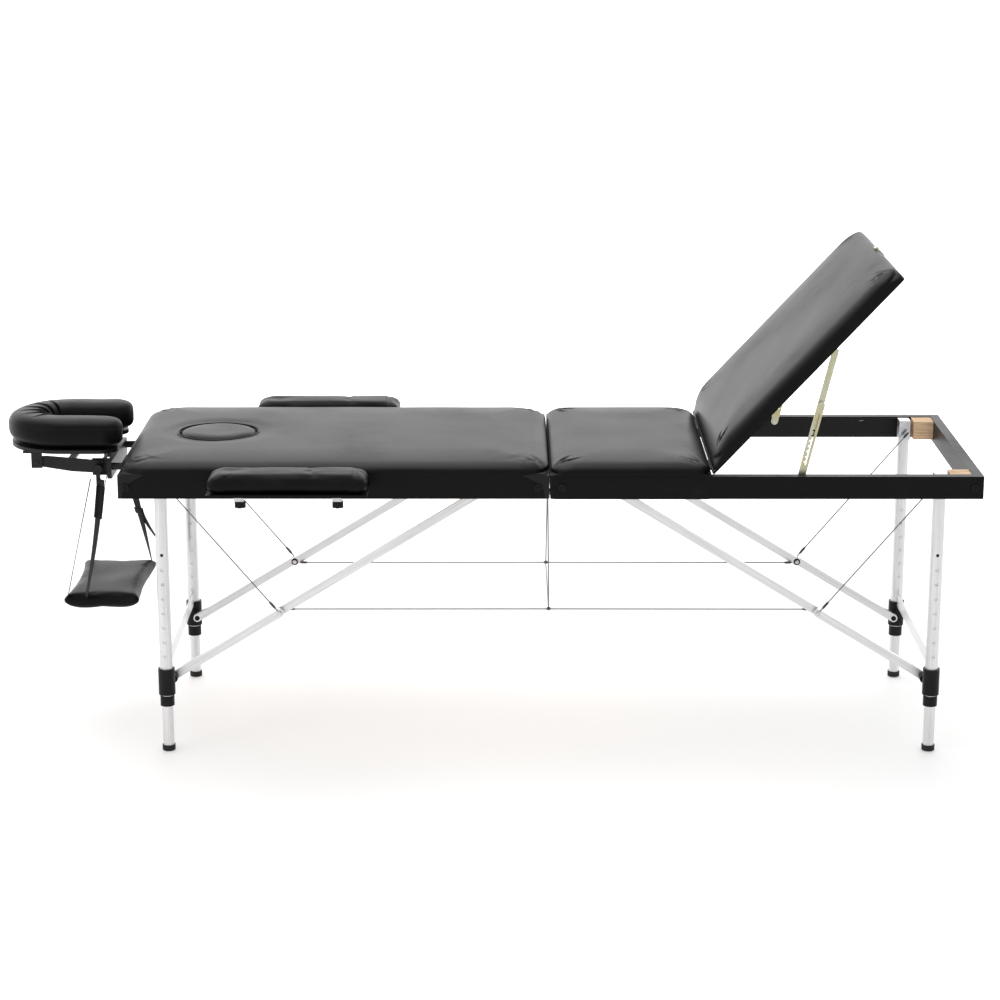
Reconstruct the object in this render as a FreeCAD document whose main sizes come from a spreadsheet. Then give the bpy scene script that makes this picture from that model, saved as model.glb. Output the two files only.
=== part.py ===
import FreeCAD, Part
import math
import os

from FreeCAD import Placement, Rotation, Vector

# Portable massage table. The head end is -X, the foot end is +X, the two long sides are -Y and +Y.
# Millimetres; the feet stand on Z = 0. Every named dimension below sits in the spreadsheet "P".
os.makedirs("parts", exist_ok=True)
doc = FreeCAD.newDocument("massage_table")
sheet = doc.addObject("Spreadsheet::Sheet", "P")

DIMENSIONS = {
    # whole table
    "centre_shift": 146.02,    # moves everything along X so that the origin is under the middle of the box
    "half_len": 930.0,
    "half_wid": 300.0,
    "joint_gap": 1.0,          # half of the gap between the two halves
    "skirt_t": 1.5,
    "rail_t": 20.0,
    "rail_low": 587.0,
    "rail_top": 635.0,
    "deck_t": 4.0,
    "pad_low": 639.2,
    "pad_top": 668.0,
    "pad_round": 11.0,
    "mid_pad_end": 342.0,
    "fold_z": 582.0,
    # legs
    "leg_x": 843.0,
    "leg_y": 256.0,
    "leg_pivot_z": 602.0,
    "tube_r": 14.0,
    "tube_wall": 1.5,
    "lower_r": 12.2,
    "hole_r": 3.6,
    "hole_pitch": 33.0,
    "housing_low": 131.0,
    "housing_h": 59.0,
    "housing_r": 18.4,
    "collar_low": 105.0,
    "collar_r": 15.6,
    "cap_r": 14.5,
    "cap_h": 13.0,
    "crossbar_low": 182.0,
    "crossbar_h": 32.0,
    "crossbar_t": 3.0,
    # braces
    "brace_w": 18.0,
    "brace_t": 12.0,
    "upper_layer": 198.0,
    "lower_layer": 212.0,
    # cables
    "cable_r": 1.4,
    # backrest
    "back_x": 349.0,
    "back_z": 638.5,
    "back_len": 578.0,
    "back_angle": 47.2,
    "back_board_t": 5.0,
    "back_pad_t": 36.5,
    "strut_x": 540.0,
    "strut_z": 627.0,
    "strut_reach": 366.0,      # from the backrest hinge to the strut's upper pivot, along the board
    "strut_drop": 11.0,        # and under the board
    # face cradle
    "post_y": 105.0,
    "post_z": 611.0,
    "post_r": 8.0,
    "cushion_mid_x": 1080.0,
    "cushion_low": 652.0,
    "cushion_h": 68.0,
    "cushion_r": 134.0,
    "cushion_gap_r": 40.0,
    # arm shelf
    "shelf_x": 1001.0,
    "shelf_z": 288.0,
    "shelf_l": 180.0,
    "shelf_w": 320.0,
    "shelf_t": 32.0,
    # armrests
    "arm_in": 304.0,
    "arm_w": 104.0,
    "arm_low": 622.0,
    "arm_pad_h": 42.0,
    "arm_len": 350.0,
    # face hole
    "hole_x": 742.0,
    "hole_rx": 86.0,
    "hole_ry": 80.0,
}
for row, (alias, value) in enumerate(DIMENSIONS.items(), start=1):
    sheet.set(f"A{row}", alias)
    sheet.set(f"B{row}", str(value))
    sheet.setAlias(f"B{row}", alias)
doc.recompute()


class Values:
    """The spreadsheet's numbers, as plain attributes."""

    def __getattr__(self, alias):
        return float(DIMENSIONS[alias])


P = Values()
SIDES = (-1, 1)
count = 0


def new(kind, stem):
    """Add one document object with a running name."""
    global count
    count += 1
    return doc.addObject(kind, f"{stem}_{count:03d}")


def bind(obj, prop, value):
    """Set a property from a number, or bind it to an expression over the spreadsheet."""
    if isinstance(value, str):
        obj.setExpression(prop, value.replace("$", "P."))
    elif "." in prop:
        obj.setExpression(prop, repr(float(value)))
    else:
        setattr(obj, prop, value)


def put(obj, at, turn=None):
    """Place an object at a point (numbers or expressions), turned by an optional Rotation."""
    if turn is not None:
        obj.Placement = Placement(Vector(), turn)
    for axis, value in zip("xyz", at):
        bind(obj, f"Placement.Base.{axis}", value)
    return obj


def box(size, at, turn=None):
    obj = new("Part::Box", "box")
    for prop, value in zip(("Length", "Width", "Height"), size):
        bind(obj, prop, value)
    return put(obj, at, turn)


ALONG = {
    "x": Rotation(Vector(0, 1, 0), 90),
    "-x": Rotation(Vector(0, 1, 0), -90),
    "y": Rotation(Vector(1, 0, 0), -90),
    "-y": Rotation(Vector(1, 0, 0), 90),
    "z": Rotation(),
    "-z": Rotation(Vector(1, 0, 0), 180),
}


def rod(radius, height, at, along="z"):
    """A round bar from a point, along one of the axes or a Vector."""
    obj = new("Part::Cylinder", "rod")
    bind(obj, "Radius", radius)
    bind(obj, "Height", height)
    turn = ALONG[along] if isinstance(along, str) else Rotation(Vector(0, 0, 1), along)
    return put(obj, at, turn)


def bar(radius, start, end):
    """A straight round bar between two points."""
    start, end = Vector(*start), Vector(*end)
    return rod(radius, (end - start).Length, tuple(start), end - start)


def cut(base, *tools):
    obj = new("Part::Cut", "cut")
    obj.Base = base
    obj.Tool = tools[0] if len(tools) == 1 else join(*tools)
    return obj


def join(*pieces):
    obj = new("Part::MultiFuse", "join")
    obj.Shapes = list(pieces)
    return obj


def group(*pieces):
    obj = new("Part::Compound", "group")
    obj.Links = list(pieces)
    return obj


def prism(points, depth, plane="xz", at=(0, 0, 0), turn=None):
    """A closed outline of straight lines, pushed out by a depth. Plane xz pushes along +Y, xy along +Z."""
    outline = new("Sketcher::SketchObject", "outline")
    flat = [Vector(a, b, 0) for a, b in points]
    for first, second in zip(flat, flat[1:] + flat[:1]):
        outline.addGeometry(Part.LineSegment(first, second), False)
    if plane == "xz":
        outline.Placement = Placement(Vector(), ALONG["-y"])
    obj = new("Part::Extrusion", "prism")
    obj.Base = outline
    obj.DirMode = "Custom"
    obj.Dir = Vector(0, 1, 0) if plane == "xz" else Vector(0, 0, 1)
    obj.Solid = True
    bind(obj, "LengthFwd", depth)
    holder = new("Part::Compound", "held")
    holder.Links = [obj]
    return put(holder, at, turn)


def soften(base, radius, keep):
    """Round the edges for which keep(edge) is true."""
    doc.recompute()
    obj = new("Part::Fillet", "soft")
    obj.Base = base
    obj.Edges = [(n + 1, radius, radius) for n, edge in enumerate(base.Shape.Edges) if keep(edge)]
    return obj


def level(z, slack=0.01):
    """Edge filter: the whole edge lies at one height."""
    return lambda edge: abs(edge.BoundBox.ZMin - z) < slack and abs(edge.BoundBox.ZMax - z) < slack


def upright(edge):
    box_ = edge.BoundBox
    return box_.ZLength > 1 and box_.XLength < 0.01 and box_.YLength < 0.01


nodes = {}


def node(label, *pieces):
    """Make one named sub-part of separate solids, shifted so that the origin is under the box's middle."""
    obj = new("Part::Compound", "node")
    obj.Links = list(pieces)
    obj.Label = label
    obj.setExpression("Placement.Base.x", "P.centre_shift")
    nodes[label] = obj
    return obj


def slot_bar(start, end, width, thick, y, bores=()):
    """A flat bar with round ends between two points (x, z), its near face at y, bored at some points."""
    run = Vector(end[0] - start[0], 0, end[1] - start[1])
    along = Rotation(Vector(1, 0, 0), run)
    corner = Vector(start[0], y, start[1]) + along.multVec(Vector(0, 0, -width / 2))
    body = box((run.Length, thick, width), tuple(corner), along)
    ends = [rod(width / 2, thick, (p[0], y, p[1]), "y") for p in (start, end)]
    whole_bar = join(body, *ends)
    drills = [rod(STUD_R + 0.3, thick + 4, (x, y - 2, z), "y") for x, z in bores]
    return cut(whole_bar, *drills) if drills else whole_bar


STUD_R = 3.0


# ---------------------------------------------------------------- the two halves
def half(sign):
    """Four rails and the skirt of one half, as uncut bars; sign -1 is the head half, +1 the foot half."""
    low = "-$half_len" if sign < 0 else "$joint_gap"
    inner_x = "$half_len - $joint_gap - 2*$skirt_t"
    across = "2*$half_wid - 2*$skirt_t - 2*$rail_t"
    tall = "$rail_top - $rail_low"
    rails = {}
    for s, edge in ((-1, "near"), (1, "far")):
        y = "-$half_wid + $skirt_t" if s < 0 else "$half_wid - $skirt_t - $rail_t"
        rails[edge] = box((inner_x, "$rail_t", tall), (f"{low} + $skirt_t", y, "$rail_low"))
    inner_y = "-$half_wid + $skirt_t + $rail_t"
    rails["low"] = box(("$rail_t", across, tall), (f"{low} + $skirt_t", inner_y, "$rail_low"))
    rails["high"] = box(("$rail_t", across, tall),
                        (f"{low} + $half_len - $joint_gap - $skirt_t - $rail_t", inner_y, "$rail_low"))
    skin = box(("$half_len - $joint_gap", "2*$half_wid", "$rail_top + $deck_t - $rail_low"),
               (low, "-$half_wid", "$rail_low"))
    inside = box((inner_x, "2*$half_wid - 2*$skirt_t", "$rail_top + $deck_t - $rail_low + 2"),
                 (f"{low} + $skirt_t", "-$half_wid + $skirt_t", "$rail_low - 1"))
    return rails, skin, inside


SOCKET_R = 9.0        # bore of the cradle sockets in the end rail
FERRULE_R = 8.0       # outside of the armrest ferrules
ARM_POST_R = 6.0
ARM_POST_Z = 609.0
NEAR_ARM_X = -557.0   # middle of each armrest
FAR_ARM_X = -517.0
ARM_POST_HALF = 104.0
END_DEPTH = 26.0

ferrule_spots = [(x + d * ARM_POST_HALF, s) for s, x in ((-1, NEAR_ARM_X), (1, FAR_ARM_X)) for d in SIDES]


def socket_holes():
    """Blind holes for the two cradle sockets in the head end."""
    return [rod(SOCKET_R + 2, END_DEPTH, (-P.half_len - 1, s * P.post_y, P.post_z), "x") for s in SIDES]


def ferrule_holes(side=0):
    """Holes for the armrest ferrules in the side rails: one side, or both."""
    return [rod(FERRULE_R, END_DEPTH, (x, s * (P.half_wid + 1), ARM_POST_Z), "y" if s < 0 else "-y")
            for x, s in ferrule_spots if side in (0, s)]


rails, skin, inside = half(-1)
head_rails = (cut(rails["near"], *ferrule_holes(-1)), cut(rails["far"], *ferrule_holes(1)),
              cut(rails["low"], *socket_holes()), rails["high"])
node("head_skirt", cut(skin, inside, *socket_holes(), *ferrule_holes()))


def ellipse_bar(rx, ry, low, height):
    """An upright bar of elliptical section at the face hole."""
    curve = new("Part::Ellipse", "oval")
    bind(curve, "MajorRadius", rx)
    bind(curve, "MinorRadius", ry)
    obj = new("Part::Extrusion", "oval_bar")
    obj.Base = curve
    obj.DirMode = "Custom"
    obj.Dir = Vector(0, 0, 1)
    obj.Solid = True
    bind(obj, "LengthFwd", height)
    holder = new("Part::Compound", "held")
    holder.Links = [obj]
    return put(holder, ("-$hole_x", 0, low))


deck = box(("$half_len - $joint_gap - 2*$skirt_t", "2*$half_wid - 2*$skirt_t", "$deck_t"),
           ("-$half_len + $skirt_t", "-$half_wid + $skirt_t", "$rail_top"))
head_deck = cut(deck, ellipse_bar("$hole_rx", "$hole_ry", 600, 60))


def pad(length, x, hole=None):
    """Foam pad of one half: a block with round upper edges and corners."""
    body = box((length, "2*$half_wid - 2", "$pad_top - $pad_low"), (x, "-$half_wid + 1", "$pad_low"))
    rounded = soften(body, P.pad_round, lambda e: level(P.pad_top)(e) or upright(e))
    return cut(rounded, hole) if hole else rounded


HOLE_CUT = (600.0, 90.0)              # start and height of the bar that cuts the face hole
face_hole = ellipse_bar("$hole_rx", "$hole_ry", *HOLE_CUT)
node("head_pad", pad("$half_len - $joint_gap - 1", "-$half_len + 0.5", face_hole))
plug = ellipse_bar("$hole_rx - 1", "$hole_ry - 1", P.rail_top, P.pad_top + 1 - P.rail_top)
node("hole_plug", soften(plug, 8.0, level(P.pad_top + 1)))

rails, skin, inside = half(1)
foot_rails = tuple(rails.values())
BATTEN = (305.0, 347.0, 624.0)        # start, end and underside of the batten under the short deck's edge
batten = box((BATTEN[1] - BATTEN[0], "2*$half_wid - 2*$skirt_t - 2*$rail_t", P.rail_top - BATTEN[2]),
             (BATTEN[0], "-$half_wid + $skirt_t + $rail_t", BATTEN[2]))
WRAP_T = 1.5                          # the skirt turned in over the foot rails' upper edges
wrap_x, wrap_len = "$mid_pad_end + 5", "$half_len - $mid_pad_end - 5"
lid_cut = box((700, 700, 10), (wrap_x, -350, "$rail_top"))
turned = cut(box((wrap_len, "2*$half_wid", WRAP_T), (wrap_x, "-$half_wid", "$rail_top")),
             box((wrap_len + " - $skirt_t - $rail_t", "2*$half_wid - 2*$skirt_t - 2*$rail_t", 9),
                 (wrap_x, "-$half_wid + $skirt_t + $rail_t", "$rail_top - 3")))
node("foot_skirt", join(cut(skin, inside, lid_cut), turned))
foot_deck = box(("$mid_pad_end + 1.5 - $joint_gap - $skirt_t", "2*$half_wid - 2*$skirt_t", "$deck_t"),
                ("$joint_gap + $skirt_t", "-$half_wid + $skirt_t", "$rail_top"))
node("foot_pad", pad("$mid_pad_end - $joint_gap - 0.5", "$joint_gap + 0.5"))

BLOCK = (46.0, 50.0, 42.0)
RAIL_IN_X = P.half_len - P.skirt_t - P.rail_t
RAIL_IN_Y = P.half_wid - P.skirt_t - P.rail_t
for name, sign in (("head", -1), ("foot", 1)):
    blocks = []
    for s in SIDES:
        x = RAIL_IN_X - BLOCK[0] if sign > 0 else -RAIL_IN_X
        y = RAIL_IN_Y - BLOCK[1] if s > 0 else -RAIL_IN_Y
        blocks.append(box(BLOCK, (x, y, P.rail_top - BLOCK[2])))
    wood = (*head_rails, head_deck) if sign < 0 else (*foot_rails, foot_deck, batten)
    node(f"{name}_frame", *wood, *blocks)

# ---------------------------------------------------------------- centre hinges
HINGE_Y = 230.0
HINGE_LEN = 60.0
LEAF_T = 1.5
LEAF_W = 34.0
LEAF_IN = 3.0
KNUCKLE_R = 4.0
PIN_R = 2.0
hinge_leaves = {}
for name, sign, share in (("head", -1, 0), ("foot", 1, 1)):
    leaves = []
    for s in SIDES:
        start = s * HINGE_Y - HINGE_LEN / 2
        x = -LEAF_W if sign < 0 else LEAF_IN
        leaf = box((LEAF_W - LEAF_IN, HINGE_LEN, LEAF_T), (x, start, P.rail_low - LEAF_T))
        curls = []
        for part in range(3):
            if (part % 2 == 0) == (sign < 0):
                y = start + part * HINGE_LEN / 3 + (0.3 if part else 0)
                length = HINGE_LEN / 3 - (0.3 if part in (0, 2) else 0) - (0.3 if part == 1 else 0)
                curls.append(rod(KNUCKLE_R, length, (0, y, "$fold_z"), "y"))
                tab_x = -KNUCKLE_R - 3 if sign < 0 else 1.0
                curls.append(box((KNUCKLE_R + 2, length, 2.2), (tab_x, y, P.rail_low - 2.2 - 0.3)))
        bore = rod(PIN_R + 0.3, HINGE_LEN + 2, (0, start - 1, "$fold_z"), "y")
        leaves.append(cut(join(leaf, *curls), bore))
    hinge_leaves[name] = leaves
node("hinge_pins", *[rod(PIN_R, HINGE_LEN, (0, s * HINGE_Y - HINGE_LEN / 2, "$fold_z"), "y") for s in SIDES])

# ---------------------------------------------------------------- legs
PIVOT_R = 4.0
HOLES = 8
TOP_HOLE_Z = 452.0
BUTTON_HOLE = 2       # the third hole from the top holds the snap button
LUG_REACH = 18.0
BRACE_FOOT = (P.leg_x - 13.0, 160.0)
BRACE_HEAD = (100.0, 606.0)
COLLAR_H = 23.0
SCREW_HEAD_R = 6.0
SCREW_HEAD_T = 1.2
leg_brackets = {}


def leg_tube(x, y):
    """The upper tube with its row of holes and its pivot bore."""
    low = P.collar_low + 2
    top = P.leg_pivot_z + 12
    body = rod("$tube_r", top - low, (x, y, low))
    bore = rod("$tube_r - $tube_wall", top - low - 3, (x, y, low - 1))
    holes = [rod("$hole_r", 2 * P.tube_r + 4, (x, y - P.tube_r - 2, TOP_HOLE_Z - n * P.hole_pitch), "y")
             for n in range(HOLES)]
    pivot = rod(PIVOT_R + 0.3, 2 * P.tube_r + 4, (x, y - P.tube_r - 2, "$leg_pivot_z"), "y")
    return cut(body, bore, pivot, *holes)


def housing(x, y, inward, side):
    """Black plastic housing round the tube, with a lug and a screw for the brace on its inner side."""
    screw_x, screw_z = BRACE_FOOT[0] * inward, BRACE_FOOT[1]
    lug_way, screw_way = ("-y", "y") if side > 0 else ("y", "-y")
    body = rod("$housing_r", "$housing_h", (x, y, "$housing_low"))
    lug = rod(9.0, LUG_REACH + 3.2, (screw_x, y - side * (P.housing_r - 4), screw_z), lug_way)
    web = box((12, 14, 24), (x - 6 + (6 if inward < 0 else -6), y - 7 - side * 12, screw_z - 12))
    screw_y = side * (P.lower_layer - P.brace_t / 2 - SCREW_HEAD_T)
    screw = rod(STUD_R, y * side - P.housing_r + 2 - abs(screw_y), (screw_x, screw_y, screw_z), screw_way)
    screw_head = rod(SCREW_HEAD_R, SCREW_HEAD_T, (screw_x, screw_y, screw_z), screw_way)
    bore = rod("$tube_r", 100, (x, y, "$housing_low - 10"))
    notch = box((P.crossbar_t + 0.8, 2 * P.leg_y, 40),
                (x - P.crossbar_t / 2 - 0.4, -P.leg_y, P.crossbar_low - 0.4))
    return cut(join(body, lug, web, screw, screw_head), bore, notch)


for name, sign in (("head", -1), ("foot", 1)):
    x = sign * P.leg_x
    spots = [(x, s * P.leg_y, s) for s in SIDES]
    bar_y = P.leg_y - P.tube_r - 0.2
    crossbar = box(("$crossbar_t", 2 * bar_y, "$crossbar_h"), (x - P.crossbar_t / 2, -bar_y, "$crossbar_low"))
    node(f"{name}_leg_tubes", *[leg_tube(a, b) for a, b, s in spots], crossbar)
    collars = [cut(rod("$collar_r", COLLAR_H, (a, b, "$collar_low")),
                   rod("$tube_r", 40, (a, b, "$collar_low + 2")),
                   rod("$lower_r + 0.4", 60, (a, b, "$collar_low - 10"))) for a, b, s in spots]
    node(f"{name}_housings", *[housing(a, b, sign, s) for a, b, s in spots], *collars)
    brackets = []
    for a, b, s in spots:
        plates = [box((26, 3, P.rail_top - P.leg_pivot_z + 12),
                      (a - 13, b + t * (P.tube_r + 0.8) - (3 if t < 0 else 0), P.leg_pivot_z - 12))
                  for t in SIDES]
        roof = box((26, 2 * P.tube_r + 7.6, 3), (a - 13, b - P.tube_r - 3.8, P.rail_top - 3))
        pin = rod(PIVOT_R, 2 * P.tube_r + 10, (a, b - P.tube_r - 5, "$leg_pivot_z"), "y")
        brackets.append(join(*plates, roof, pin))
    leg_brackets[name] = brackets
    for a, b, s in spots:
        which = f"{name}_{'near' if s < 0 else 'far'}"
        bottom, top = 6.0, 440.0
        tube = cut(rod("$lower_r", top - bottom, (a, b, bottom)),
                   rod("$lower_r - $tube_wall", top - bottom, (a, b, bottom + 4)),
                   rod(3.3, 10, (a, b - P.lower_r - 4, TOP_HOLE_Z - BUTTON_HOLE * P.hole_pitch), "y"))
        node(f"{which}_lower_tube", tube)
        cap = cut(rod("$cap_r", "$cap_h", (a, b, 0)), rod("$lower_r", 20, (a, b, 6)))
        node(f"{which}_foot_cap", soften(cap, 2.5, level(0)))
        node(f"{which}_snap_button",
             rod(3.0, 4.5, (a, b - P.lower_r + 0.25, TOP_HOLE_Z - BUTTON_HOLE * P.hole_pitch), "y"))

# ---------------------------------------------------------------- braces
foot = Vector(BRACE_FOOT[0], 0, BRACE_FOOT[1])
head = Vector(BRACE_HEAD[0], 0, BRACE_HEAD[1])
arm = P.leg_pivot_z - BRACE_FOOT[1]
folded = Vector(P.leg_x - arm, 0, P.leg_pivot_z + P.leg_x - BRACE_FOOT[0])
full = (head - foot).Length
lower_len = (full - (folded - head).Length) / 2
upper_len = full - lower_len
mid = foot + (head - foot).normalize() * lower_len
brace_brackets = {}
for name, sign in (("head", -1), ("foot", 1)):
    uppers, lowers, plates, rivets_in, rivets_out = [], [], [], [], []
    for s in SIDES:
        y_up = P.upper_layer - P.brace_t / 2 if s > 0 else -P.upper_layer - P.brace_t / 2
        y_low = P.lower_layer - P.brace_t / 2 if s > 0 else -P.lower_layer - P.brace_t / 2
        top_end, mid_end, low_end = ((sign * p.x, p.z) for p in (head, mid, foot))
        uppers.append(slot_bar(top_end, mid_end, P.brace_w, P.brace_t, y_up, [top_end]))
        lowers.append(slot_bar(low_end, mid_end, P.brace_w, P.brace_t, y_low, [low_end]))
        rivets_out.append(rod(5.0, 2.5, (sign * mid.x, s * (P.lower_layer + P.brace_t / 2), mid.z),
                              "y" if s > 0 else "-y"))
        rivets_in.append(rod(5.0, 2.5, (sign * mid.x, s * (P.upper_layer - P.brace_t / 2), mid.z),
                             "-y" if s > 0 else "y"))
        y_tab = s * (P.upper_layer - P.brace_t / 2 - 4.5)
        tab = box((22, 4, P.rail_top - head.z + 10), (sign * head.x - 11, y_tab - 2, head.z - 10))
        foot_plate = box((22, 26, 3), (sign * head.x - 11, y_tab - 13, P.rail_top - 3))
        stud = rod(STUD_R, P.brace_t + 6, (sign * head.x, y_tab, head.z), "y" if s > 0 else "-y")
        plates.append(join(tab, foot_plate, stud))
    node(f"{name}_upper_braces", *uppers, *rivets_in)
    node(f"{name}_lower_braces", *lowers, *rivets_out)
    brace_brackets[name] = plates

# ---------------------------------------------------------------- cables
EYE = (850.0, 612.0)
CABLE_Y = 222.0
LONG_Y = 186.0
LONG_Z = 301.0
for name, sign in (("head", -1), ("foot", 1)):
    stays, long_ones = [], []
    for s in SIDES:
        stays.append(bar(P.cable_r, (sign * EYE[0], s * CABLE_Y, EYE[1]),
                         (sign * (mid.x + 4), s * CABLE_Y, mid.z + 6)))
        long_ones.append(bar(P.cable_r, (sign * (mid.x - 12), s * LONG_Y, mid.z),
                             (sign * 2.0, s * LONG_Y, LONG_Z + 4)))
    node(f"{name}_cables", *stays, *long_ones)
tip = LONG_Y - 4
node("centre_loop",
     bar(P.cable_r, (0, 8, 576), (0, tip, LONG_Z + 9)),
     bar(P.cable_r, (0, -8, 576), (0, -tip, LONG_Z + 9)),
     bar(P.cable_r, (0, -tip + 6, LONG_Z + 1), (0, tip - 6, LONG_Z + 1)))

# ---------------------------------------------------------------- backrest
lift = Rotation(Vector(0, -1, 0), P.back_angle)


def on_back(along, up, y=0.0):
    """A point of the raised backrest: along the board from the hinge, and up from its underside."""
    return Vector(P.back_x, y, P.back_z) + lift.multVec(Vector(along, 0, up))


def back_box(size, along, y, up):
    return box(size, tuple(on_back(along, up, y)), lift)


node("backrest_board", back_box((P.back_len - 3, 2 * P.half_wid - 4, P.back_board_t), 3, -P.half_wid + 2, 0))
profile = [(2.0, 5.2), (P.back_len, 5.2), (P.back_len, 41.5), (52.0, 41.5)]
cushion = prism(profile, 2 * P.half_wid - 2, "xz")
cushion_soft = soften(cushion, P.pad_round, lambda e: e.BoundBox.ZMin > 41 or (
    e.BoundBox.XMin > P.back_len - 1 and e.BoundBox.ZLength > 20))
held = new("Part::Compound", "held")
held.Links = [cushion_soft]
node("backrest_pad", put(held, tuple(on_back(0, 0, -P.half_wid + 1)), lift))

BACK_HINGE_Y = (-200.0, 200.0)
CATCH_UP = 24.0       # height of the catch's rivet over the board's underside
strut_top = on_back(P.strut_reach, -P.strut_drop)
brackets = []
for s in SIDES:
    brackets.append(join(
        back_box((28, 24, 2), P.strut_reach - 14, s * 250 - 12, -2),
        back_box((18, 3, P.strut_drop + 6), P.strut_reach - 9, s * 256 - 1.5, -P.strut_drop - 6)))
LEAF_LEN = 70.0
BARREL_R = 1.8
BACK_PIN_R = 0.8
back_leaves, back_pins = [], []
for y in BACK_HINGE_Y:
    start = y - LEAF_LEN / 2
    barrel = rod(BARREL_R, LEAF_LEN, (P.back_x, start, P.back_z), "y")
    bore = rod(BACK_PIN_R + 0.2, LEAF_LEN + 2, (P.back_x, start - 1, P.back_z), "y")
    leaf = back_box((36, LEAF_LEN, 1.5), 0, start, -1.6)
    back_leaves.append(cut(join(leaf, barrel), bore))
    pin = rod(BACK_PIN_R, LEAF_LEN + 5, (P.back_x, start - 2.5, P.back_z), "y")
    lugs = [box((6.2, 2, 5), (P.back_x - 5, start + end, P.rail_top + 0.02))
            for end in (-2.5, LEAF_LEN + 0.5)]
    back_pins.append(join(pin, *lugs))
catch_plate = back_box((2.0, 26, 22), P.back_len, -13, 8)
CATCH_PIN = 2.5
catch_rivet = rod(CATCH_PIN, 6.0, tuple(on_back(P.back_len + 1, CATCH_UP)), lift.multVec(Vector(1, 0, 0)))
node("backrest_brackets", *brackets, *back_leaves, join(catch_plate, catch_rivet))

CHANNEL_LEN = 165.0
TUBE_LEN = 165.0
STRUT_W = 16.0
base = Vector(P.strut_x, 0, P.strut_z)
run = Vector(strut_top.x - base.x, 0, strut_top.z - base.z)
run.normalize()
channel_end = base + run * CHANNEL_LEN
tube_end = Vector(strut_top.x, 0, strut_top.z) - run * TUBE_LEN
TOOTH_PITCH = 12.0
TOOTH_R = 2.2
channels, tubes, base_pins = [], [], []
for s in SIDES:
    y0 = s * 272.5 - 2.5
    plate = slot_bar((base.x, base.z), (channel_end.x, channel_end.z), STRUT_W, 5.0, y0)
    turn = Rotation(Vector(1, 0, 0), run)
    bottom_pin = Vector(base.x, y0 - 2, base.z)
    slot = box((CHANNEL_LEN - 50, 9, 3.4), tuple(bottom_pin + turn.multVec(Vector(30, 0, -3))), turn)
    teeth = []
    for n in range(9):
        spot = bottom_pin + turn.multVec(Vector(36 + TOOTH_PITCH * n, 0, 1.6))
        teeth.append(rod(TOOTH_R, 9, tuple(spot), "y"))
    pivot = rod(3.3, 9, (base.x, y0 - 2, base.z), "y")
    channels.append(cut(plate, slot, pivot, *teeth))
    y1 = s * 265.5 - 3.5
    tubes.append(slot_bar((strut_top.x, strut_top.z), (tube_end.x, tube_end.z), STRUT_W - 3, 7.0, y1))
    base_pins.append(rod(3.0, 9.0, (base.x, s * RAIL_IN_Y, base.z), "-y" if s > 0 else "y"))
node("ratchet_channels", *channels)
node("strut_tubes", *tubes)

# catch on the backrest's end, and its keeper on the foot rail
hook_bore = rod(CATCH_PIN + 0.3, 12, tuple(on_back(P.back_len - 2, CATCH_UP)), lift.multVec(Vector(1, 0, 0)))
node("catch_hook", cut(back_box((2.5, 12, 26), P.back_len + 2.4, -6, 2), hook_bore))
keeper = box((3, 26, 20), ("$half_len", -13, 606))
node("head_brackets", *hinge_leaves["head"], *leg_brackets["head"], *brace_brackets["head"])
node("foot_brackets", *hinge_leaves["foot"], *leg_brackets["foot"], *brace_brackets["foot"], *base_pins,
     *back_pins, keeper)

# ---------------------------------------------------------------- rail buttons and sockets
BUTTON_SPOTS = {"head": ((-911.0, 612.0), (-26.0, 612.0)), "foot": ((26.0, 612.0), (911.0, 612.0))}
for name, spots in BUTTON_SPOTS.items():
    heads = []
    for x, z in spots:
        for s in SIDES:
            disc = rod(8.0, 4.0, (x, s * (P.half_wid + 0.05), z), "y" if s > 0 else "-y")
            heads.append(disc)
    node(f"{name}_corner_buttons", *heads)
sockets = [cut(rod(SOCKET_R + 2, 24, (-P.half_len - 2, s * P.post_y, "$post_z"), "x"),
               rod(SOCKET_R, 40, (-P.half_len - 5, s * P.post_y, "$post_z"), "x")) for s in SIDES]
ferrules = []
for x, s in ferrule_spots:
    way = "y" if s < 0 else "-y"
    ferrules.append(cut(rod(FERRULE_R, 22, (x, s * P.half_wid, ARM_POST_Z), way),
                        rod(ARM_POST_R + 0.4, 40, (x, s * (P.half_wid + 5), ARM_POST_Z), way)))
node("rail_sockets", *sockets, *ferrules)

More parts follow.
